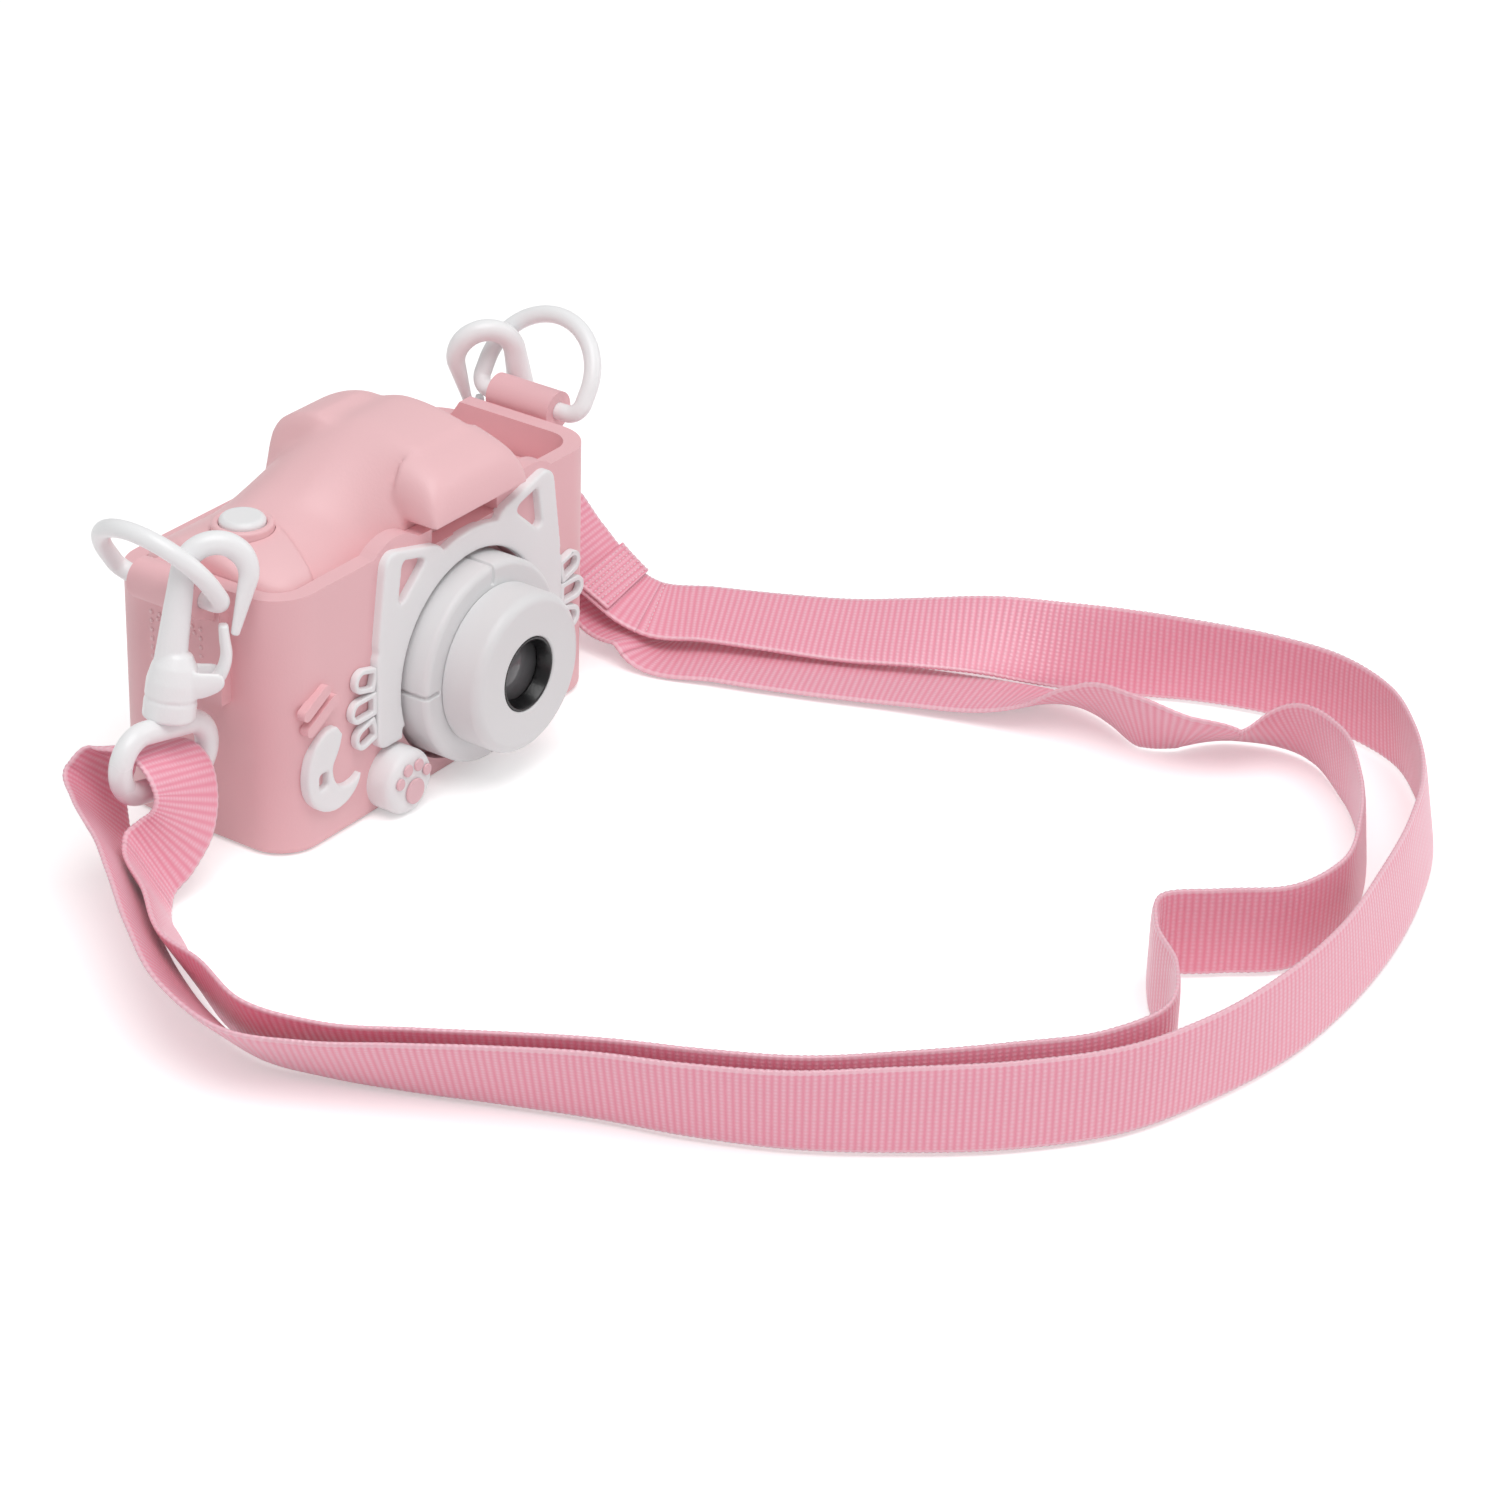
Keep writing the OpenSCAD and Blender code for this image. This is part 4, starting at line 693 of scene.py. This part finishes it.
def cap_surface():
    """Closed cap: outer grid, inner grid one wall in, and their borders led down to the seam."""
    outer, inner = cap_grid(0, 80, 44), cap_grid(CASE_WALL, 80, 44)
    rows, columns = outer.shape[:2]
    n, rim = rows * columns, border(rows, columns)
    top, under = outer.reshape(-1, 3), inner.reshape(-1, 3)
    low, low_in = top[rim].copy(), under[rim].copy()
    low[:, 2] = low_in[:, 2] = CAP_Z
    points = np.concatenate([top, under, low, low_in])
    m = len(rim)
    rings = [rim, 2 * n + np.arange(m), 2 * n + m + np.arange(m), n + rim]
    faces = [quads(rows, columns), quads(rows, columns, start=n)[:, ::-1]]
    for a, b in zip(rings[:-1], rings[1:]):
        faces.append(np.stack([a, np.roll(a, -1), np.roll(b, -1), b], -1))
    return points, np.concatenate(faces)


def brow_surface():
    """Brow over the lens: a rounded tongue whose sides fall by 1 - s^5 and whose lip falls by 1 - t^8."""
    quarter = math.pi / 2
    a, b = np.meshgrid(np.linspace(-quarter, quarter, 49), np.linspace(0, quarter, 25), indexing="xy")
    s, t = np.sin(a), np.sin(b)
    y = -CASE_Y + 2.5 - (BROW_LEN + 2.5) * t
    side = np.maximum(0, 1 - np.abs(s) ** 5) ** 0.4
    lip = np.sqrt(np.maximum(0, 1 - t ** 8))
    z = BROW_Z + BROW_EDGE + (hump(y) - 0.35 - BROW_EDGE - BROW_Z) * side * lip
    top = np.stack([BROW_X + BROW_HALF * s, y, z], -1)
    rows, columns = top.shape[:2]
    rim = border(rows, columns)
    flat = top.reshape(-1, 3)
    low = flat[rim].copy()
    low[:, 2] = BROW_Z
    n, m = len(flat), len(rim)
    wall = np.stack([rim, n + np.arange(m), n + np.roll(np.arange(m), -1), np.roll(rim, -1)], -1)
    faces = quads(rows, columns).tolist() + wall.tolist() + [list(range(n, n + m))]
    return np.concatenate([flat, low]), faces


# Operators


class TOYCAM_OT_stage(bpy.types.Operator):
    """Camera at the photograph's angle, pale floor, soft lamps and an even sky"""

    bl_idname = "toycam.stage"
    bl_label = "Stage"

    def execute(self, context):
        scene, stage = context.scene, context.scene.toycam_stage
        scene.view_settings.view_transform = "Standard"
        a, e, r = stage.azimuth, stage.elevation, stage.roll
        back = Vector((math.sin(a) * math.cos(e), -math.cos(a) * math.cos(e), math.sin(e)))
        right = Vector((math.cos(a), math.sin(a), 0))
        up = back.cross(right)
        level, rise = right * math.cos(r) + up * math.sin(r), up * math.cos(r) - right * math.sin(r)
        data = bpy.data.cameras.new("photo_camera")
        data.lens, data.sensor_width = stage.lens, 36.0
        data.clip_start, data.clip_end = 0.01, 20
        camera = bpy.data.objects.new("photo_camera", data)
        scene.collection.objects.link(camera)
        turn = Matrix((level, rise, back)).transposed().to_4x4()
        camera.matrix_world = Matrix.Translation(Vector(stage.place)) @ turn
        scene.camera = camera
        self.floor()
        self.sky(scene, stage)
        self.lamp("key_lamp", place=(-0.25, -0.35, 1.1), target=(0, -0.06, 0), size=0.9, power=stage.key)
        self.lamp("fill_lamp", place=(0.75, -0.75, 0.6), target=(0, -0.06, 0.02), size=0.7,
                  power=stage.key * 0.2)
        return {"FINISHED"}

    def floor(self):
        """Flat grid just under the part, faintly clouded, that glows a little where the camera sees it."""
        reach, count, level = 3.0, 9, -0.2 * MM
        line = np.linspace(-reach, reach, count)
        u, v = np.meshgrid(line, line)
        points = np.stack([u, v, np.full_like(u, level)], -1).reshape(-1, 3)
        material, tree, shader = principled("pale_floor")
        shader.inputs["Roughness"].default_value = 0.9
        shader.inputs["Specular IOR Level"].default_value = 0.1
        place = put(tree, "ShaderNodeTexCoord").outputs["Object"]
        cloud = put(tree, "ShaderNodeTexNoise", Vector=place, Scale=2.0).outputs[0]
        tone = mixed(tree, cloud, (0.93, 0.93, 0.93, 1), (0.95, 0.95, 0.95, 1))
        tree.links.new(tone, shader.inputs["Base Color"])
        rays = put(tree, "ShaderNodeLightPath").outputs
        seen = sums(tree, "MAXIMUM", rays["Is Camera Ray"], sums(tree, "MAXIMUM", rays["Is Glossy Ray"],
                                                                   rays["Is Transmission Ray"]))
        shader.inputs["Emission Color"].default_value = (1, 1, 1, 1)
        tree.links.new(sums(tree, "MULTIPLY", seen, 0.35), shader.inputs["Emission Strength"])
        as_piece("floor", points, quads(count, count), material)

    def sky(self, scene, stage):
        """Even light from all round, and a near-white backdrop where the camera sees it."""
        world = bpy.data.worlds.new("even_sky")
        world.use_nodes = True
        scene.world = world
        tree = world.node_tree
        tree.nodes.clear()
        rays = put(tree, "ShaderNodeLightPath").outputs
        seen = sums(tree, "MAXIMUM", rays["Is Camera Ray"], rays["Is Transmission Ray"])
        soft = put(tree, "ShaderNodeBackground", Color=(1, 1, 1, 1), Strength=stage.sky)
        white = put(tree, "ShaderNodeBackground", Color=(0.97, 0.97, 0.97, 1), Strength=1.0)
        blend = tree.nodes.new("ShaderNodeMixShader")
        tree.links.new(seen, blend.inputs[0])
        tree.links.new(soft.outputs[0], blend.inputs[1])
        tree.links.new(white.outputs[0], blend.inputs[2])
        tree.links.new(blend.outputs[0], put(tree, "ShaderNodeOutputWorld").inputs["Surface"])

    def lamp(self, name, place, target, size, power):
        """Round area lamp at a place, turned to its target."""
        data = bpy.data.lights.new(name, "AREA")
        data.shape, data.size, data.energy = "DISK", size, power
        lamp = bpy.data.objects.new(name, data)
        bpy.context.scene.collection.objects.link(lamp)
        aim = Vector(target) - Vector(place)
        lamp.matrix_world = Matrix.Translation(place) @ aim.to_track_quat("-Z", "Y").to_matrix().to_4x4()


class TOYCAM_OT_strap(bpy.types.Operator):
    """Neck strap of ribbed ribbon: two runs on the table, two loops at the clips, a sewn end"""

    bl_idname = "toycam.strap"
    bl_label = "Strap"

    def execute(self, context):
        sizes, finishes = context.scene.toycam_sizes, context.scene.toycam_finishes
        cloth = ribbon_material(finishes, sizes)
        routes = strap_routes(0.3 * MM)
        loops = {}
        for side in ("left", "right"):
            loops[side] = ribbon_piece(f"strap_{side}_loop_ribbon", routes[side], sizes, cloth)
            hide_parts(f"strap_{side}_loop")
            self.bend(loops[side], side)
        patch, tacks, seam = self.sewn_end(routes, sizes, cloth, finishes)
        for name, more in (("outer", [loops["left"], seam]), ("inner", [loops["right"], patch, tacks])):
            piece = ribbon_piece(f"strap_{name}_ribbon", routes[name], sizes, cloth)
            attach(piece, "camera")
            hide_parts(f"strap_{name}_run")
        return {"FINISHED"}

    def bend(self, piece, side):
        """The piece's placement worked into its mesh."""
        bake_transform(piece)

    def facing(self, middle, normal):
        """Side of a ribbon that faces the camera: the sign of its mean normal on the line to the camera."""
        eye = np.array(bpy.context.scene.toycam_stage.place)
        return np.sign(np.sum(normal * (eye - middle), axis=1).mean())

    def sewn_end(self, routes, sizes, cloth, finishes):
        """Folded end on the right loop with rows of tacks across it, and a seam where the loop meets the run."""
        colour = tuple(finishes.thread)
        thread = moulded("strap_thread", colour, dim(colour, 0.9), mottle=0.4, rough=0.45)
        lap_from, lap_to, seam_row = 4.5 * MM, 12 * MM, 4
        tack_lift, seam_lift = 1.62 * MM, 0.58 * MM
        length = routes["right"][3]
        back = length[-1] - length
        keep = (back > lap_from) & (back < lap_to)
        lap = tuple(part[keep] for part in routes["right"])
        toward = self.facing(lap[0], lap[1])
        patch = ribbon_piece("strap_sewn_end", lap, sizes, cloth, thin=0.9, lift=toward * sizes.ribbon_thick)
        self.bend(patch, "right")
        rows = np.linspace(2, len(lap[0]) - 3, 7).astype(int)
        tacks = self.stitches("strap_tacks", lap, rows, toward * tack_lift, thread)
        self.bend(tacks, "right")
        outer, rows = routes["outer"], np.array([seam_row])
        toward = self.facing(outer[0][rows], outer[1][rows])
        seam = self.stitches("strap_seam", outer, rows, toward * seam_lift, thread)
        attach(seam, "camera")
        return patch, tacks, seam

    def stitches(self, name, route, rows, lift, thread):
        """Stitches in lines across the ribbon: small beads from edge to edge on the chosen rows."""
        count, reach, size = 13, 6.6 * MM, (0.44 * MM, 0.13 * MM, 0.12 * MM)
        middle, normal, across, length = route
        v = np.linspace(-reach, reach, count)
        centres = (middle[rows][:, None] + across[rows][:, None] * v[None, :, None]
                   + normal[rows][:, None] * lift).reshape(-1, 3)
        along = np.repeat(across[rows], count, axis=0)
        up = np.repeat(normal[rows] * np.sign(lift), count, axis=0)
        return beads(name, centres, along, up, size, thread)


class TOYCAM_OT_cover(bpy.types.Operator):
    """Silicone cover with soft edges, and the dotted stitch mark moulded on its side strips"""

    bl_idname = "toycam.cover"
    bl_label = "Cover"

    def execute(self, context):
        finishes, sizes = context.scene.toycam_finishes, context.scene.toycam_sizes
        pink = tuple(finishes.pink)
        silicone = moulded("cover_silicone", pink, dim(pink, 0.9), mottle=0.3, rough=0.5, Sheen_Weight=0.06)
        softened("silicone_cover", silicone, sizes.soft_edge, split=True)
        # Painted highlight: the dots are the cover's own silicone, paled towards white so that they read as lit
        pale = tuple(c + (1.0 - c) * 0.22 for c in pink)
        highlit_dot_silicone = moulded("dot_silicone_painted_highlight", pale, dim(pale, 0.97), mottle=0.3, rough=0.5)
        for name, side in (("left_strip_dots", -1), ("right_strip_dots", 1)):
            self.dots(name, side, highlit_dot_silicone)
        return {"FINISHED"}

    def dots(self, name, side, silicone):
        """Dots of the stitch mark on a side strip: a rectangle and its two diagonals."""
        strip_x, size = 43.2, (0.5 * MM, 0.4 * MM, 0.22 * MM)
        y0, y1, z0, z1 = -3.5, 6.7, 30.5, 38.4
        ends = [((y0, z0), (y1, z0), 7), ((y0, z1), (y1, z1), 7), ((y0, z0), (y0, z1), 6),
                ((y1, z0), (y1, z1), 6), ((y0, z0), (y1, z1), 9), ((y0, z1), (y1, z0), 9)]
        marks = np.concatenate([np.linspace(a, b, count) for a, b, count in ends])
        marks = np.unique(marks.round(2), axis=0)
        flat = np.full(len(marks), strip_x * side)
        centres = np.column_stack([flat, -side * marks[:, 0], marks[:, 1]]) * MM
        up = np.tile([float(side), 0, 0], (len(marks), 1))
        along = np.tile([0, 0, 1.0], (len(marks), 1))
        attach(beads(name, centres, along, up, size, silicone), "camera")


class TOYCAM_OT_relief(bpy.types.Operator):
    """White cat frame, cheek tufts, tail and paw with puffy edges"""

    bl_idname = "toycam.relief"
    bl_label = "Relief"

    def execute(self, context):
        finishes = context.scene.toycam_finishes
        white = tuple(finishes.relief)
        silicone = moulded("relief_silicone", white, dim(white, 0.93), mottle=0.3, rough=0.46)
        pads = moulded("pad_silicone", tuple(finishes.pad), dim(finishes.pad, 0.92), mottle=0.3, rough=0.5)
        for node, rounds in (("cat_frame", 14), ("tail_relief", 12), ("paw_relief", 14)):
            puffed(node, silicone, voxel=0.25 * MM, rounds=rounds, sink=0.7 * MM)
        for node in ("left_cheek_tuft", "right_cheek_tuft"):
            softened(node, silicone, 0.3 * MM)
        softened("paw_pads", pads, 0.2 * MM)
        return {"FINISHED"}


class TOYCAM_OT_case(bpy.types.Operator):
    """Camera case: smooth top with its crown, grip and brow, the two shells and the shutter button"""

    bl_idname = "toycam.case"
    bl_label = "Case"

    def execute(self, context):
        finishes, sizes = context.scene.toycam_finishes, context.scene.toycam_sizes
        pink = tuple(finishes.case)
        plastic = moulded("case_plastic", pink, dim(pink, 0.92), mottle=0.3, rough=0.44)
        self.top(plastic, sizes)
        for node, radius in (("front_shell", 0.0), ("rear_shell", 0.25), ("shutter_collar", 0.55)):
            softened(node, plastic, radius * MM)
        softened("shutter_button", button_plastic(finishes), 0.3 * MM)
        return {"FINISHED"}

    def top(self, plastic, sizes):
        """Cap and brow under one smooth skin, with the hole for the shutter collar cut through it."""
        points, faces = cap_surface()
        more, brow = brow_surface()
        cap = as_piece("top_shell_skin", points * MM, faces, plastic)
        tongue = as_piece("brow_part", more * MM, brow, plastic)
        outward(cap.data)
        outward(tongue.data)
        bm = bmesh.new()
        bm.from_mesh(cap.data)
        bm.from_mesh(tongue.data)
        bm.to_mesh(cap.data)
        bm.free()
        bpy.data.objects.remove(tongue)
        skinned(cap, sizes.skin_voxel, rounds=6)
        cutter = self.cutter(plastic)
        hole = cap.modifiers.new("hole", "BOOLEAN")
        hole.operation, hole.solver, hole.object = "DIFFERENCE", "EXACT", cutter
        apply_modifiers(cap)
        bpy.data.objects.remove(cutter)
        shaded(cap.data, plastic)
        cap.data.set_sharp_from_angle(angle=math.radians(50))
        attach(cap, "camera")
        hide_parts("top_shell")

    def cutter(self, plastic):
        """Cylinder round the shutter collar: a circle carried up."""
        count, low, high = 96, 38.0, 62.0
        a = np.linspace(0, 2 * math.pi, count + 1)[:-1]
        circle = np.stack([POST_X + COLLAR_R * np.cos(a), COLLAR_R * np.sin(a)], -1)
        points = np.concatenate([np.column_stack([circle, np.full(count, z)]) for z in (low, high)]) * MM
        ring = np.arange(count)
        faces = quads(2, count, around=True).tolist() + [ring[::-1].tolist(), (ring + count).tolist()]
        piece = as_piece("collar_cutter", points, faces, plastic)
        outward(piece.data)
        return piece


class TOYCAM_OT_lens(bpy.types.Operator):
    """White lens rings, black cup and dark glass"""

    bl_idname = "toycam.lens"
    bl_label = "Lens"

    def execute(self, context):
        white = tuple(context.scene.toycam_finishes.white)
        plastic = moulded("lens_plastic", white, dim(white, 0.94), mottle=0.3, rough=0.42)
        black = moulded("cup_plastic", linear(22, 22, 24), linear(14, 14, 15), mottle=0.4, rough=0.3)
        for node, radius in (("lens_base", 0.35), ("lens_barrel", 0.5)):
            softened(node, plastic, radius * MM)
        softened("lens_cup", black, 0.15 * MM)
        softened("lens_glass", self.glass(), 0.0)
        return {"FINISHED"}

    def glass(self):
        """Smooth dark glass with a painted reflection that pales it towards its lower left edge: its tone falls
        by even shares of the height and of the distance to the right of the lens axis."""
        start, by_height, by_side = 2.3, -90.0, 50.0
        # Painted reflection: the grey of the glass runs from dark to pale towards its lower left edge
        dark, pale = (*linear(98, 98, 100), 1), (*linear(122, 122, 124), 1)
        material, tree, shader = principled("lens_glass_painted_reflection")
        spot = put(tree, "ShaderNodeTexCoord").outputs["Object"]
        place = put(tree, "ShaderNodeSeparateXYZ", Vector=spot).outputs
        aside = sums(tree, "MULTIPLY", sums(tree, "SUBTRACT", place[0], LENS_X * MM), by_side)
        painted_reflection = sums(tree, "SUBTRACT", sums(tree, "MULTIPLY_ADD", place[2], by_height, start), aside)
        soft = put(tree, "ShaderNodeClamp", Value=painted_reflection).outputs[0]
        tree.links.new(mixed(tree, soft, dark, pale), shader.inputs["Base Color"])
        shader.inputs["Roughness"].default_value = 0.16
        return material


class TOYCAM_OT_back(bpy.types.Operator):
    """Screen window and rear keys"""

    bl_idname = "toycam.back"
    bl_label = "Back"

    def execute(self, context):
        button = button_plastic(context.scene.toycam_finishes)
        screen = moulded("screen_gloss", linear(20, 20, 23), linear(12, 12, 14), mottle=0.4, rough=0.1,
                         relief=0.002 * MM, Coat_Weight=0.5, Coat_Roughness=0.04)
        softened("screen_window", screen, 0.2 * MM)
        for key in ("up", "down", "left", "right", "ok", "power"):
            softened(f"button_{key}", button, 0.25 * MM)
        return {"FINISHED"}


class TOYCAM_OT_clips(bpy.types.Operator):
    """Rings, moulded hooks, gates and eyes of white plastic"""

    bl_idname = "toycam.clips"
    bl_label = "Clips"

    # Place of the left clip in millimetres, its lean and the turn of its hook in degrees
    PLACE, LEAN, TURN = Vector((-53.9, -6.5, 31.7)), 12.2, -43.0

    def execute(self, context):
        white = tuple(context.scene.toycam_finishes.clip)
        plastic = moulded("clip_plastic", white, dim(white, 0.95), mottle=0.3, rough=0.3)
        left = Matrix.Translation(self.PLACE * MM) @ Matrix.Rotation(math.radians(self.LEAN), 4, "Y")
        for side, half in (("left", 0), ("right", math.pi)):
            place = Matrix.Rotation(half, 4, "Z") @ left
            hooked = place @ Matrix.Rotation(math.radians(self.TURN), 4, "Z")
            softened(f"{side}_ring", plastic, 0.0)
            for part, shells, where in (("hook", self.hook(), hooked), ("gate", self.gate(), hooked),
                                        ("eye", self.eye(), place)):
                piece = one_skin(f"{side}_{part}_skin", shells, where, plastic, voxel=0.27 * MM, rounds=4)
                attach(piece, f"{side}_clip" if part == "eye" else f"{side}_{part}")
                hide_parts(f"{side}_{part}")
        return {"FINISHED"}

    def hook(self):
        """Stem, half circle of the bight and tapered nose on a turned base with two cheeks for the gate."""
        radius, middle, crest = 5.15, 4.7, 20.5
        foot, tip_x, tip_z = 3.5, 8.75, 11.0
        cheek_at, cheek_half = 2.45, 0.62
        a = np.linspace(math.pi, 0, 25)
        bight = np.stack([middle + radius * np.cos(a), crest + radius * np.sin(a)], -1)
        stem = np.stack([np.linspace(-0.75, middle - radius, 21)[:-1], np.linspace(foot, crest, 21)[:-1]], -1)
        nose = np.stack([np.linspace(middle + radius, tip_x, 16)[1:], np.linspace(crest, tip_z, 16)[1:]], -1)
        path = np.concatenate([stem, bight, nose])
        wide = np.concatenate([np.linspace(2.75, 2.0, 20), np.full(18, 1.95), np.linspace(1.93, 1.62, 7),
                               np.linspace(1.55, 0.7, 15)])
        deep = np.concatenate([np.linspace(2.3, 1.9, 20), np.full(18, 1.85), np.linspace(1.83, 1.56, 7),
                               np.linspace(1.5, 0.75, 15)])
        base = turned([(1.8, -3.4), (3.7, -3.4), (4.2, -3.0), (4.2, -0.3), (3.85, 0.1), (4.2, 0.5),
                       (4.15, 3.0), (3.6, 5.4), (2.6, 7.4), (0.0, 8.2), (0.0, 2.2), (2.8, 2.2), (2.8, 0.0),
                       (1.8, 0.0)])
        shells = [swept(path, wide, deep), base]
        cheek = along_path([(1.0, 3.0), (4.0, 3.1), (7.6, 4.3)], 16)
        blunt = np.sqrt(np.clip(1 - (np.linspace(0, 1, 16) / 1.02) ** 8, 0, 1))
        points, faces = swept(cheek, np.linspace(2.6, 1.6, 16) * blunt, cheek_half * blunt ** 0.3)
        return shells + [(points + [0, t, 0], faces) for t in (-cheek_at, cheek_at)]

    def gate(self):
        """Sprung finger that bows outwards from the hinge to the nose."""
        path = along_path([(5.9, 2.9), (6.9, 3.9), (7.6, 5.6), (7.8, 7.8), (7.25, 10.2), (6.75, 12.6)], 30)
        return [swept(path, np.linspace(1.15, 0.8, 30), np.linspace(1.6, 1.35, 30))]

    def eye(self):
        """Closed oval of thick wire with its swivel post and head."""
        mid, bend, half = -9.8, 4.95, 5.2
        a = np.linspace(-math.pi / 2, math.pi / 2, 25)
        right = np.stack([half + bend * np.cos(a), mid + bend * np.sin(a)], -1)
        path = np.concatenate([right, -right + [0, 2 * mid]])
        post = turned([(0.0, -6.0), (1.6, -6.0), (1.6, 0.3), (2.6, 0.3), (2.6, 1.8), (0.0, 1.8)])
        return [swept(path, 1.95, 1.9, closed=True), post]


class TOYCAM_OT_insides(bpy.types.Operator):
    """Materials of the boards, battery, sockets and screws inside the case"""

    bl_idname = "toycam.insides"
    bl_label = "Insides"

    def execute(self, context):
        board = moulded("board_mask", linear(28, 92, 58), linear(20, 70, 44), mottle=0.6, rough=0.4,
                        patch=200.0)
        black = moulded("inner_plastic", linear(34, 34, 36), linear(24, 24, 25), mottle=0.4, rough=0.55)
        foil = moulded("battery_foil", linear(196, 198, 202), linear(170, 172, 176), mottle=0.5, rough=0.35,
                       Metallic=0.8)
        steel = moulded("socket_steel", linear(190, 191, 194), linear(160, 161, 165), mottle=0.5, rough=0.32,
                        Metallic=1.0)
        plan = {board: ("sensor_board", "main_board", "switch_board"), foil: ("battery",),
                black: ("display_panel", "shutter_switch", "rear_switches", "speaker", "lens_module"),
                steel: ("usb_socket", "card_socket", "case_screws")}
        for material, names in plan.items():
            for name in names:
                data = frame["nodes"][name].data
                data.materials.clear()
                data.materials.append(material)
        return {"FINISHED"}


class TOYCAM_PT_panel(bpy.types.Panel):
    """List of the pieces and the sizes and colours that they take"""

    bl_label = "Toy camera"
    bl_idname = "TOYCAM_PT_panel"
    bl_space_type = "VIEW_3D"
    bl_region_type = "UI"
    bl_category = "Toy camera"

    def draw(self, context):
        """One row for each size and colour, then a button for each piece."""
        for group in (context.scene.toycam_finishes, context.scene.toycam_sizes, context.scene.toycam_stage):
            for name in group.__annotations__:
                self.layout.prop(group, name)
        for step in STEPS:
            self.layout.operator(step.bl_idname)


STEPS = (TOYCAM_OT_stage, TOYCAM_OT_strap, TOYCAM_OT_cover, TOYCAM_OT_relief, TOYCAM_OT_case,
         TOYCAM_OT_lens, TOYCAM_OT_back, TOYCAM_OT_clips, TOYCAM_OT_insides)
GROUPS = (("toycam_finishes", ToyCamFinishes), ("toycam_sizes", ToyCamSizes), ("toycam_stage", ToyCamStage))


def register():
    """Property groups on the scene, then the operators and the panel."""
    for name, group in GROUPS:
        bpy.utils.register_class(group)
        setattr(bpy.types.Scene, name, PointerProperty(type=group))
    for kind in (*STEPS, TOYCAM_PT_panel):
        bpy.utils.register_class(kind)


def unregister():
    """All that register put in, taken out in reverse."""
    for kind in reversed((*STEPS, TOYCAM_PT_panel)):
        bpy.utils.unregister_class(kind)
    for name, group in reversed(GROUPS):
        delattr(bpy.types.Scene, name)
        bpy.utils.unregister_class(group)


def main():
    """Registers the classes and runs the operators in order."""
    register()
    for step in (bpy.ops.toycam.stage, bpy.ops.toycam.strap, bpy.ops.toycam.cover, bpy.ops.toycam.relief,
                 bpy.ops.toycam.case, bpy.ops.toycam.lens, bpy.ops.toycam.back,
                 bpy.ops.toycam.clips, bpy.ops.toycam.insides):
        step()


if __name__ == "__main__":
    main()
